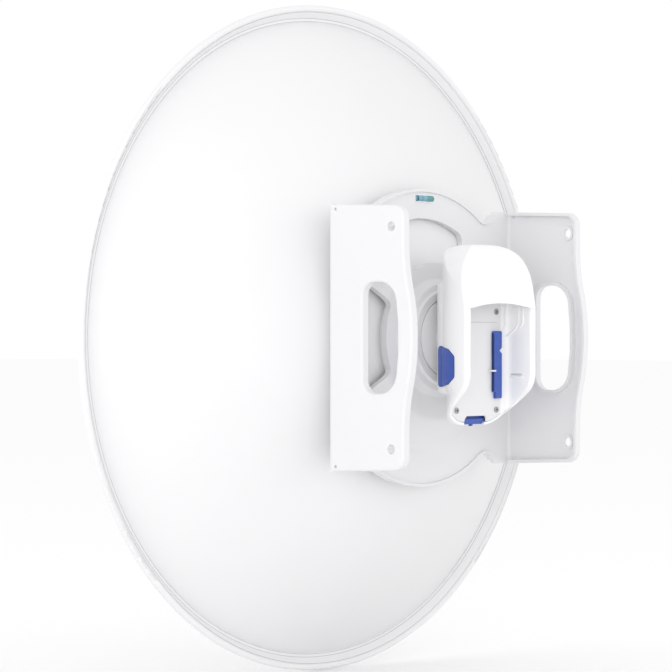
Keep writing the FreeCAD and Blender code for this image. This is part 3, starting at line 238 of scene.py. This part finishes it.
@dataclass
class Paintwork:
    """Gives every CAD node the finish of its material slot.

    Args:
        finishes: The finishes to make.
        own: Name of the finish that a node takes instead of its slot's.
        made: The materials made, by name.
    """

    finishes: tuple[Finish, ...] = FINISHES
    # the cable bay's panel takes the greyer white that paints the bay's shade
    own: dict[str, str] = field(default_factory=lambda: {"bay_panel": "bay_shaded_white"})
    made: dict[str, bpy.types.Material] = field(default_factory=dict)

    def apply(self) -> None:
        """Makes the materials and puts them on the CAD nodes."""
        for finish in self.finishes:
            self.made[finish.name or finish.slot.value] = finish.material()
        for part in frame["record"]["subparts"]:
            name = self.own.get(part["node"], part["material_slot"])
            node = frame["nodes"][part["node"]]
            node.data.materials.clear()
            node.data.materials.append(self.made[name])
            log.info("finish %s on %s", name, part["node"])


def clear_selection() -> None:
    """Goes back to object mode with nothing selected."""
    if bpy.context.mode != "OBJECT":
        bpy.ops.object.mode_set(mode="OBJECT")
    bpy.ops.object.select_all(action="DESELECT")


class Piece:
    """A modelled piece on the bench, its place kept in its mesh."""

    def __init__(self, name: str) -> None:
        """Takes the active object as the piece's blank.

        Args:
            name: The piece's name.
        """
        self.thing = bpy.context.active_object
        self.thing.name = name
        self.thing.data.name = name
        bpy.ops.object.transform_apply(location=True, rotation=True, scale=True)

    @classmethod
    def block(cls, name: str, low: Point, high: Point) -> "Piece":
        """Adds a rectangular block between two corners.

        Args:
            name: The piece's name.
            low: Lowest corner in millimetres.
            high: Highest corner in millimetres.

        Returns:
            The piece.
        """
        clear_selection()
        centre = [(a + b) / 2 * MM for a, b in zip(low, high)]
        size = [(b - a) * MM for a, b in zip(low, high)]
        bpy.ops.mesh.primitive_cube_add(size=1.0, location=centre, scale=size)
        return cls(name)

    @classmethod
    def bar(cls, name: str, start: Point, end: Point, radius: float, sides: int = 24) -> "Piece":
        """Adds a round bar between two points.

        Args:
            name: The piece's name.
            start: One end in millimetres.
            end: The other end in millimetres.
            radius: Its radius in millimetres.
            sides: How many flats stand for the round.

        Returns:
            The piece.
        """
        clear_selection()
        run = Vector(end) - Vector(start)
        middle = (Vector(start) + Vector(end)) / 2 * MM
        bpy.ops.mesh.primitive_cylinder_add(
            vertices=sides, radius=radius * MM, depth=run.length * MM, location=middle,
            rotation=run.to_track_quat("Z", "Y").to_euler())
        return cls(name)

    @classmethod
    def twin(cls, name: str, node: str) -> "Piece":
        """Copies a CAD node's shape and merges its loose triangles.

        Args:
            name: The piece's name.
            node: The CAD node.

        Returns:
            The piece.
        """
        clear_selection()
        thing = bpy.data.objects.new(name, frame["nodes"][node].data.copy())
        bpy.context.scene.collection.objects.link(thing)
        bpy.context.view_layer.objects.active = thing
        thing.select_set(True)
        thing.data.materials.clear()
        bpy.ops.object.mode_set(mode="EDIT")
        bpy.ops.mesh.select_all(action="SELECT")
        bpy.ops.mesh.remove_doubles(threshold=MERGE_MM * MM)
        bpy.ops.object.mode_set(mode="OBJECT")
        return cls(name)

    @classmethod
    def ring(cls, name: str, depth: float, radius: float, thickness: float) -> "Piece":
        """Adds a round ring about the beam's axis.

        Args:
            name: The piece's name.
            depth: Place of the ring along the axis in millimetres.
            radius: Radius of the ring in millimetres.
            thickness: Radius of its round section in millimetres.

        Returns:
            The piece.
        """
        clear_selection()
        bpy.ops.mesh.primitive_torus_add(
            major_segments=240, minor_segments=8,
            major_radius=radius * MM, minor_radius=thickness * MM,
            location=(0.0, depth * MM, 0.0), rotation=(math.pi / 2, 0.0, 0.0))
        return cls(name)

    @classmethod
    def ball(cls, name: str, centre: Point, radius: float) -> "Piece":
        """Adds a small ball.

        Args:
            name: The piece's name.
            centre: Its centre in millimetres.
            radius: Its radius in millimetres.

        Returns:
            The piece.
        """
        clear_selection()
        bpy.ops.mesh.primitive_uv_sphere_add(segments=16, ring_count=8, radius=radius * MM,
                                             location=Vector(centre) * MM)
        return cls(name)

    @classmethod
    def bead(cls, name: str, points: list[Point], radius: float) -> "Piece":
        """Lays a round bead through a row of points.

        Args:
            name: The piece's name.
            points: The bends and ends of the bead in millimetres.
            radius: Its radius in millimetres.

        Returns:
            The piece.
        """
        runs = [cls.bar(name, start, end, radius, sides=16)
                for start, end in zip(points, points[1:])]
        knots = [cls.ball(name, point, radius) for point in points]
        runs[0].absorb(runs[1:] + knots)
        return runs[0]

    def pick(self, kind: str, where: Rule) -> None:
        """Selects the faces or edges that a rule picks, in edit mode.

        Args:
            kind: "faces" or "edges".
            where: Takes the middle in millimetres and the direction, and says if it is picked.
        """
        clear_selection()
        bpy.context.view_layer.objects.active = self.thing
        self.thing.select_set(True)
        bpy.ops.object.mode_set(mode="EDIT")
        bpy.ops.mesh.select_all(action="DESELECT")
        bpy.ops.mesh.select_mode(type="FACE" if kind == "faces" else "EDGE")
        shape = bmesh.from_edit_mesh(self.thing.data)
        if kind == "faces":
            for face in shape.faces:
                face.select_set(where(face.calc_center_median() / MM, face.normal))
        else:
            for edge in shape.edges:
                middle = (edge.verts[0].co + edge.verts[1].co) / 2
                run = (edge.verts[1].co - edge.verts[0].co).normalized()
                edge.select_set(where(middle / MM, run))
        shape.select_flush_mode()
        bmesh.update_edit_mesh(self.thing.data)

    def bevel(self, width: float, segments: int, where: Rule) -> None:
        """Rounds the edges that a rule picks.

        Args:
            width: Width of the round in millimetres.
            segments: How many flats stand for it.
            where: Picks the edges.
        """
        self.pick("edges", where)
        bpy.ops.mesh.bevel(offset=width * MM, segments=segments, profile=0.5, affect="EDGES")
        clear_selection()

    def inset(self, margin: float, where: Rule) -> None:
        """Insets the faces that a rule picks.

        Args:
            margin: Width of the inset in millimetres.
            where: Picks the faces.
        """
        self.pick("faces", where)
        bpy.ops.mesh.inset(thickness=margin * MM, depth=0.0, use_even_offset=True)
        clear_selection()

    def drop_faces(self, where: Rule) -> None:
        """Deletes the faces that a rule picks."""
        self.pick("faces", where)
        bpy.ops.mesh.delete(type="FACE")
        clear_selection()

    def wall(self, thickness: float) -> None:
        """Gives an open skin a thickness inwards.

        Args:
            thickness: Thickness in millimetres.
        """
        solid = self.thing.modifiers.new("wall", "SOLIDIFY")
        solid.thickness = thickness * MM
        solid.offset = -1.0
        bpy.context.view_layer.objects.active = self.thing
        bpy.ops.object.modifier_apply(modifier=solid.name)

    def copy(self, step: Point) -> "Piece":
        """Copies the piece, with a mesh of its own, a step away.

        Args:
            step: Where the copy goes, in millimetres from here.

        Returns:
            The copy.
        """
        clear_selection()
        bpy.context.view_layer.objects.active = self.thing
        self.thing.select_set(True)
        bpy.ops.object.duplicate(linked=False)
        bpy.context.active_object.location = [length * MM for length in step]
        return Piece(self.thing.name)

    def mirror_x(self) -> "Piece":
        """Copies the piece to the other side of the YZ plane.

        Returns:
            The copy.
        """
        twin = self.copy((0.0, 0.0, 0.0))
        bpy.ops.object.mode_set(mode="EDIT")
        bpy.ops.mesh.select_all(action="SELECT")
        bpy.ops.transform.mirror(constraint_axis=(True, False, False),
                                 center_override=(0.0, 0.0, 0.0))
        bpy.ops.mesh.normals_make_consistent(inside=False)
        clear_selection()
        return twin

    def absorb(self, others: list["Piece"]) -> None:
        """Joins other pieces into this one.

        Args:
            others: The pieces that end up in this one.
        """
        clear_selection()
        for other in others:
            other.thing.select_set(True)
        self.thing.select_set(True)
        bpy.context.view_layer.objects.active = self.thing
        if others:
            bpy.ops.object.join()
        clear_selection()

    def dress(self, name: str, material: bpy.types.Material, slot: Slot, body: Body,
              smooth_degrees: float = 40.0) -> None:
        """Finishes the piece: its name, its shading, its material and its body.

        Args:
            name: The piece's final name.
            material: Its material.
            slot: The record's slot that the finish belongs to; not used.
            body: The CAD body that it moves with.
            smooth_degrees: Edges flatter than this are shaded smooth.
        """
        clear_selection()
        self.thing.name = name
        self.thing.data.name = name
        self.thing.select_set(True)
        bpy.context.view_layer.objects.active = self.thing
        bpy.ops.object.shade_smooth_by_angle(angle=math.radians(smooth_degrees))
        self.thing.data.materials.clear()
        self.thing.data.materials.append(material)
        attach(self.thing, body.value)
        clear_selection()
        log.info("piece %s: %d faces", name, len(self.thing.data.polygons))


def box_mm(node: str) -> tuple[Vector, Vector]:
    """Gives the box of a CAD node in millimetres.

    Args:
        node: The CAD node.

    Returns:
        Its lowest and its highest corner.
    """
    low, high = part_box(node)
    return low / MM, high / MM


@dataclass
class RimTrim:
    """Grey lines laid in the creases between the steps of the dish's rim: painted shade where the
    creases fall dark.

    Args:
        creases: Each crease as its depth, its radius and the shade line's own radius.
    """

    creases: tuple[Point, ...] = (
        (132.25, 309.2, 0.28),
        (132.1, 312.1, 0.36),
        (127.2, 318.0, 0.6),
    )

    def build(self, paint: bpy.types.Material) -> None:
        """Models the painted shade lines and joins them."""
        lines = [Piece.ring("crease_shade", *crease_shade) for crease_shade in self.creases]
        lines[0].absorb(lines[1:])
        lines[0].dress("rim_crease_shade", paint, Slot.DISH, Body.BRIDGE)


@dataclass
class LevelTrim:
    """The sight rings, the plug and the sleeve of the bubble level.

    Args:
        ring_gap: Distance between the two sight rings.
        ring_width: Width of a sight ring.
        ring_wall: Thickness of a sight ring.
        plug_length: Length of the dark plug at the left end.
        sleeve_length: Length of the green sleeve at the right end.
        end_gap: How far the plug and the sleeve start inside the vial's ends.
        end_margin: Width of the inset in their inner faces.
        skin: How far the trim stands off the glass.
        sides: How many flats stand for the rounds.
    """

    ring_gap: float = 7.6
    ring_width: float = 0.4
    ring_wall: float = 0.216
    plug_length: float = 2.6
    sleeve_length: float = 7.2
    end_gap: float = 0.02
    end_margin: float = 0.35
    skin: float = 0.12
    sides: int = 40

    def build(self, plug: bpy.types.Material, sleeve: bpy.types.Material) -> None:
        """Models the rings, the plug and the sleeve on the glass.

        Args:
            plug: Finish of the rings and the plug.
            sleeve: Finish of the sleeve.
        """
        low, high = box_mm("level_vial")
        half = self.ring_width / 2
        rings = [self._bar("sight_ring", middle - half, middle + half)
                 for middle in (-self.ring_gap / 2, self.ring_gap / 2)]
        for ring in rings:
            ring.drop_faces(lambda middle, normal: abs(normal.x) > 0.9)
            ring.wall(self.ring_wall)
        rings[0].absorb(rings[1:])
        rings[0].dress("level_sight_rings", plug, Slot.VIAL, Body.BRIDGE)
        self._end("level_plug", low.x, self.plug_length, plug)
        self._end("level_sleeve", high.x, -self.sleeve_length, sleeve)

    def _bar(self, name: str, start: float, end: float) -> Piece:
        """Adds a bar round the glass, from one place along it to another."""
        low, high = box_mm("level_vial")
        y, z = (low.y + high.y) / 2, (low.z + high.z) / 2
        radius = (high.z - low.z) / 2 + self.skin
        return Piece.bar(name, (start, y, z), (end, y, z), radius, self.sides)

    def _end(self, name: str, end: float, length: float, finish: bpy.types.Material) -> None:
        """Models what covers one end of the glass.

        Args:
            name: The piece's name.
            end: Place of the vial's end.
            length: Length of the cover, negative where it runs to the left.
            finish: Its finish.
        """
        inner = end + length
        cover = self._bar(name, end + math.copysign(self.end_gap, length), inner)
        cover.inset(self.end_margin, lambda middle, normal: abs(middle.x - inner) < 0.05)
        cover.dress(name, finish, Slot.VIAL, Body.BRIDGE)


@dataclass
class SliderTrim:
    """The fine teeth along the left side of the lock slider, in a deeper blue that is painted
    shade for that side of the slider.

    Args:
        pitch: Distance from tooth to tooth.
        height: How far a tooth stands out.
        gap: Distance left between two teeth.
        length: Length of a tooth across the slider's side.
        rear_margin: How far a tooth starts inside the slider's rear face.
        root: How deep a tooth is set in the slider.
        tip_round: Radius of a tooth's edges.
        end_margin: Plain length left at each end of the slider.
        foot_margin: Extra plain length above the step at the slider's foot.
    """

    pitch: float = 1.5
    height: float = 0.22
    gap: float = 0.06
    length: float = 2.9
    rear_margin: float = 0.15
    root: float = 0.15
    tip_round: float = 0.09
    end_margin: float = 1.8
    foot_margin: float = 5.2

    def build(self, shaded_blue: bpy.types.Material) -> None:
        """Models one tooth, copies it along the slider and joins the row."""
        low, high = box_mm("lock_slider")
        tip = low.x - self.height
        rear = low.y + self.rear_margin
        start = low.z + self.end_margin + self.foot_margin
        tooth = Piece.block("tooth", (tip, rear, start),
                            (low.x + self.root, rear + self.length, start + self.pitch - self.gap))
        tooth.bevel(self.tip_round, 2,
                    lambda middle, run: middle.x < tip + self.height / 2 and abs(run.y) > 0.9)
        count = int((high.z - self.end_margin - start) / self.pitch)
        row = [tooth.copy((0.0, 0.0, self.pitch * index)) for index in range(1, count)]
        tooth.absorb(row)
        tooth.dress("slider_teeth", shaded_blue, Slot.BLUE, Body.LOCK)


@dataclass
class BayTrim:
    """Cable guides, the clip's seat and a painted shade line under the panel's step, on the inside
    of the cable bay.

    Args:
        wall_x: Inner face of the bay's side wall.
        corner_round: Radius between that wall and the panel.
        panel_depth: Depth of the panel's face.
        guide_radius: Radius of a guide bead.
        guides: Each guide as its (depth, height) points on the wall, from the top down.
        clip_depths: Start and end of the clip's seat along the wall.
        clip_set: How deep the seat's pieces are set in the wall.
        lip_z: Lower and upper height of the seat's lip.
        lip_height: How far the lip stands out of the wall.
        lip_round: Radius of the lip's edges.
        slot_z: Lower and upper height of the slot over the lip.
        slot_height: How far the slot's painted shade block stands out of the wall.
        slot_round: Radius of its edges.
        slot_end_margin: How much shorter the slot is than the lip.
        step_shade_z: Height of the painted shade line under the panel's step.
        step_shade_ends: Left and right end of the painted shade line.
        step_shade_width: Width of the painted shade line.
        step_shade_proud: How far the painted shade line stands out of the panel.
        step_shade_set: How deep it is set in the panel.
    """

    wall_x: float = 43.0
    corner_round: float = 9.0
    panel_depth: float = 66.0
    guide_radius: float = 1.05
    guides: tuple[tuple[Flat, ...], ...] = (
        ((82.1, 33.5), (82.1, 17.0), (81.0, 12.5), (78.4, 8.6), (74.6, 5.6), (71.2, 3.4),
         (69.6, 1.6)),
        ((87.1, 33.5), (87.1, 15.5), (86.2, 12.4), (84.2, 10.2)),
        ((68.4, 33.5), (68.4, 12.0), (67.2, 8.6), (66.4, 5.4)),
    )
    clip_depths: Flat = (71.0, 87.5)
    clip_set: float = 0.2
    lip_z: Flat = (-37.6, -36.1)
    lip_height: float = 0.9
    lip_round: float = 0.5
    slot_z: Flat = (-35.3, -33.7)
    slot_height: float = 0.35
    slot_round: float = 0.3
    slot_end_margin: float = 2.0
    step_shade_z: float = 14.6
    step_shade_ends: Flat = (-33.0, 30.0)
    step_shade_width: float = 0.7
    step_shade_proud: float = 0.12
    step_shade_set: float = 0.3

    def _on_wall(self, depth: float, height: float) -> Point:
        """Gives the point of the wall, or of its rounded foot, at a depth and a height."""
        short = max(0.0, self.panel_depth + self.corner_round - depth)
        across = math.sqrt(max(0.0, self.corner_round ** 2 - short ** 2))
        return (self.wall_x - self.corner_round + across, -depth, height)

    def build(self, shell: bpy.types.Material, shade: bpy.types.Material) -> None:
        """Models the trim.

        Args:
            shell: Finish of the moulded guides.
            shade: Painted shade for the line under the panel's step and for the clip's slot.
        """
        beads = [Piece.bead("guide", [self._on_wall(*place) for place in guide],
                            self.guide_radius) for guide in self.guides]
        beads[0].absorb(beads[1:])
        beads[0].dress("cable_guides", shell, Slot.POD, Body.BRIDGE)
        self._clip_seat(shell, shade)
        # painted shade: a grey strip just under the panel's step stands in for the shadow of the
        # step
        left, right = self.step_shade_ends
        half = self.step_shade_width / 2
        step_shade = Piece.block("step_shade", (left, -self.panel_depth - self.step_shade_proud, self.step_shade_z - half),
                           (right, -self.panel_depth + self.step_shade_set, self.step_shade_z + half))
        step_shade.dress("panel_step_shade", shade, Slot.INNER, Body.BRIDGE)

    def _clip_seat(self, shell: bpy.types.Material, shade: bpy.types.Material) -> None:
        """Models the lip that the clip is hooked to, and a grey block over it as painted shade for
        the clip's slot.
        """
        near, end = self.clip_depths
        face = self.wall_x + self.clip_set
        lip = Piece.block("lip", (self.wall_x - self.lip_height, -end, self.lip_z[0]),
                          (face, -near, self.lip_z[1]))
        lip.bevel(self.lip_round, 3,
                  lambda middle, run: middle.x < self.wall_x - self.lip_height / 2)
        lip.dress("clip_seat_lip", shell, Slot.POD, Body.BRIDGE)
        # painted shade: a grey block over the lip stands in for the shade in the clip's slot
        slot_end = -end + self.slot_end_margin
        slot = Piece.block("slot", (self.wall_x - self.slot_height, slot_end, self.slot_z[0]),
                           (face, -near, self.slot_z[1]))
        slot.bevel(self.slot_round, 2,
                   lambda middle, run: middle.x < self.wall_x - self.slot_height / 2)
        slot.dress("clip_seat_slot_shade", shade, Slot.INNER, Body.BRIDGE)


@dataclass
class ScrewRecesses:
    """Dark crosses on the heads of the bay screws: painted shade that stands in for their cross
    recesses.

    Args:
        places: Middle of each head, across and up.
        head_depth: Depth of the heads' faces.
        reach: Half the length of a recess's arm.
        width: Width of an arm.
        proud: How far an arm shows out of the head.
        root: How deep it is set in the head.
    """

    places: tuple[Flat, ...] = ((28.6, 24.4), (28.6, -67.6), (-28.6, 24.4), (-28.6, -67.6))
    head_depth: float = 67.2
    reach: float = 1.75
    width: float = 0.7
    proud: float = 0.06
    root: float = 0.2

    def build(self, dark: bpy.types.Material) -> None:
        """Models one cross and copies it to the other heads."""
        x, z = self.places[0]
        half = self.width / 2
        front, rear = -self.head_depth + self.root, -self.head_depth - self.proud
        cross = Piece.block("cross", (x - self.reach, rear, z - half),
                            (x + self.reach, front, z + half))
        arm = Piece.block("arm", (x - half, rear, z - self.reach),
                          (x + half, front, z + self.reach))
        cross.absorb([arm])
        copies = [cross.copy((across - x, 0.0, up - z)) for across, up in self.places[1:]]
        cross.absorb(copies)
        cross.dress("screw_recess_shade", dark, Slot.STEEL, Body.BRIDGE)


@dataclass
class PortContacts:
    """Contact springs inside the data port.

    Args:
        count: How many springs there are.
        pitch: Distance from spring to spring.
        wire: Thickness of a spring.
        wire_round: Radius of its edges.
        wall: Distance from the port's front end to the wall that the springs lie on.
        rise: How far a spring stands out of that wall.
        root: How deep it is set in the wall.
        reach: Lower and upper end of a spring, from the port's lower end.
    """

    count: int = 8
    pitch: float = 1.3
    wire: float = 0.5
    wire_round: float = 0.12
    wall: float = 1.2
    rise: float = 0.9
    root: float = 0.1
    reach: Flat = (6.0, 14.0)

    def build(self, gold: bpy.types.Material) -> None:
        """Models one spring and copies it across the port."""
        low, high = box_mm("data_port")
        middle = (low.x + high.x) / 2
        start = middle - (self.count - 1) * self.pitch / 2
        wall = high.y - self.wall
        spring = Piece.block(
            "spring", (start - self.wire / 2, wall - self.rise, low.z + self.reach[0]),
            (start + self.wire / 2, wall + self.root, low.z + self.reach[1]))
        spring.bevel(self.wire_round, 2, lambda place, run: place.y < wall - self.rise / 2)
        row = [spring.copy((self.pitch * index, 0.0, 0.0)) for index in range(1, self.count)]
        spring.absorb(row)
        spring.dress("port_contacts", gold, Slot.STEEL, Body.BRIDGE)


@dataclass
class ButtonRibs:
    """Finger ribs on the two release buttons.

    Args:
        depths: Where the ribs run, as distances behind the bracket's base plate.
        half_height: Half the length of the middle rib.
        taper: How much shorter half a rib gets for each millimetre from the middle one.
        rib_radius: Radius of a rib.
        rib_root: How deep a rib's middle is set, as a depth from the button's face.
        end_round: Radius of a rib's ends.
        side_round: Radius of the pod's side in plan, with the button's stand-off.
        side_centre: Where that radius has its centre: across and behind the plate.
    """

    depths: tuple[float, ...] = (60.5, 65.5, 70.5)
    half_height: float = 11.5
    taper: float = 0.25
    rib_radius: float = 0.55
    rib_root: float = 0.33
    end_round: float = 0.35
    side_round: float = 40.8
    side_centre: Flat = (11.2, 87.0)

    def build(self, blue: bpy.types.Material) -> None:
        """Models the ribs of the left button and mirrors them to the right one."""
        low, high = box_mm("release_button_left")
        middle_z = (low.z + high.z) / 2
        ribs = []
        for depth in self.depths:
            across = math.sqrt(self.side_round ** 2 - (self.side_centre[1] - depth) ** 2)
            x = -(self.side_centre[0] + across) + self.rib_root
            half = self.half_height - abs(depth - self.depths[1]) * self.taper
            rib = Piece.bar("rib", (x, -depth, middle_z - half), (x, -depth, middle_z + half),
                            self.rib_radius, sides=20)
            rib.bevel(self.end_round, 3, lambda middle, run: abs(run.z) < 0.5)
            ribs.append(rib)
        ribs[0].absorb(ribs[1:])
        twin = ribs[0].mirror_x()
        ribs[0].dress("button_ribs_left", blue, Slot.BLUE, Body.LEFT_RELEASE)
        twin.dress("button_ribs_right", blue, Slot.BLUE, Body.RIGHT_RELEASE)


@dataclass
class ReturnSprings:
    """The return springs of the buttons and the tab, each a copy of its CAD node.

    Args:
        springs: The joint that presses each spring, by CAD node.
    """

    springs: dict[str, str] = field(default_factory=lambda: {
        "button_spring_left": "left_button_press",
        "button_spring_right": "right_button_press",
        "tab_spring": "tab_press",
    })

    def build(self, steel: bpy.types.Material) -> None:
        """Models each spring as a copy of its CAD node and hides the node."""
        for node, name in self.springs.items():
            coil = Piece.twin(f"{node}_coil", node)
            coil.dress(f"{node}_coil", steel, Slot.STEEL, Body.BRIDGE)
            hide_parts(node)
            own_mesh(coil.thing)


@dataclass(frozen=True)
class Lamp:
    """A square soft lamp that faces the part.

    Args:
        name: The lamp's name.
        place: Where it hangs, in metres.
        size: Length of its side in metres.
        power: Its power in watts.
    """

    name: str
    place: Point
    size: float
    power: float

    def hang(self) -> None:
        """Hangs the lamp in its place."""
        data = bpy.data.lights.new(self.name, type="AREA")
        data.size = self.size
        data.energy = self.power
        lamp = bpy.data.objects.new(self.name, data)
        lamp.location = self.place
        lamp.rotation_euler = (-Vector(self.place)).to_track_quat("-Z", "Y").to_euler()
        bpy.context.scene.collection.objects.link(lamp)


@dataclass
class Studio:
    """The floor, the lights and the camera.

    Args:
        lamps: The soft lamps.
        room_light: Strength of the even light from all round.
        floor_drop: How far the floor lies below the lowest point of the part, in metres.
        floor_size: Length of the floor's side in metres.
        floor_colour: The floor's colour.
        floor_roughness: Its roughness.
        camera_place: Where the camera stands, in metres.
        camera_aim: The way that it looks.
        lens_mm: Its focal length.
        film_mm: Width of its film.
    """

    lamps: tuple[Lamp, ...] = (
        Lamp("key", (-2.4, -2.0, 0.0), 1.6, 18.0),
        Lamp("left", (-3.4, -1.2, 0.6), 2.4, 10.0),
        Lamp("right", (1.2, -3.2, 0.6), 2.4, 9.0),
        Lamp("side", (-3.2, 0.8, 0.8), 2.4, 8.0),
    )
    room_light: float = 1.0
    floor_drop: float = 0.001
    floor_size: float = 60.0
    floor_colour: Rgb = (0.97, 0.97, 0.97)
    floor_roughness: float = 0.9
    camera_place: Point = (-2.1262, -1.8668, 0.0017)
    camera_aim: Point = (0.7318, 0.6815, 0.0)
    lens_mm: float = 159.5
    film_mm: float = 36.0

    def build(self) -> None:
        """Sets up the floor, the lights and the camera."""
        self._floor()
        self._sky()
        for lamp in self.lamps:
            lamp.hang()
        self._camera()

    def _floor(self) -> None:
        """Lays a plain pale floor under the part."""
        clear_selection()
        level = CAD_BOX[0][2] - self.floor_drop
        bpy.ops.mesh.primitive_plane_add(size=self.floor_size, location=(0.0, 0.0, level))
        floor = bpy.context.active_object
        floor.name = "floor"
        paint = bpy.data.materials.new("floor_white")
        paint.use_nodes = True
        shader = paint.node_tree.nodes["Principled BSDF"]
        shader.inputs["Base Color"].default_value = (*self.floor_colour, 1.0)
        shader.inputs["Roughness"].default_value = self.floor_roughness
        shader.inputs["Specular IOR Level"].default_value = 0.0
        floor.data.materials.append(paint)

    def _sky(self) -> None:
        """Fills the room with even white light."""
        world = bpy.data.worlds.new("white_room")
        bpy.context.scene.world = world
        world.use_nodes = True
        room = world.node_tree.nodes["Background"]
        room.inputs["Color"].default_value = (1.0, 1.0, 1.0, 1.0)
        room.inputs["Strength"].default_value = self.room_light

    def _camera(self) -> None:
        """Stands the camera in its place."""
        data = bpy.data.cameras.new("camera")
        data.lens = self.lens_mm
        data.sensor_width = self.film_mm
        camera = bpy.data.objects.new("camera", data)
        camera.location = self.camera_place
        camera.rotation_euler = Vector(self.camera_aim).to_track_quat("-Z", "Y").to_euler()
        bpy.context.scene.collection.objects.link(camera)
        bpy.context.scene.camera = camera
        bpy.context.scene.view_settings.view_transform = "Standard"


def main() -> None:
    """Builds the looks in order."""
    logging.basicConfig(level=logging.INFO, format="%(name)s: %(message)s")
    paint = Paintwork()
    paint.apply()
    RimTrim().build(paint.made["crease_shade"])
    LevelTrim().build(paint.made["vial_plug"], paint.made["vial_sleeve"])
    SliderTrim().build(paint.made["shaded_blue"])
    ButtonRibs().build(paint.made[Slot.BLUE.value])
    BayTrim().build(paint.made[Slot.POD.value], paint.made["shade"])
    ScrewRecesses().build(paint.made["recess_shade_steel"])
    PortContacts().build(paint.made["gold"])
    ReturnSprings().build(paint.made[Slot.STEEL.value])
    Studio().build()


if __name__ == "__main__":
    main()
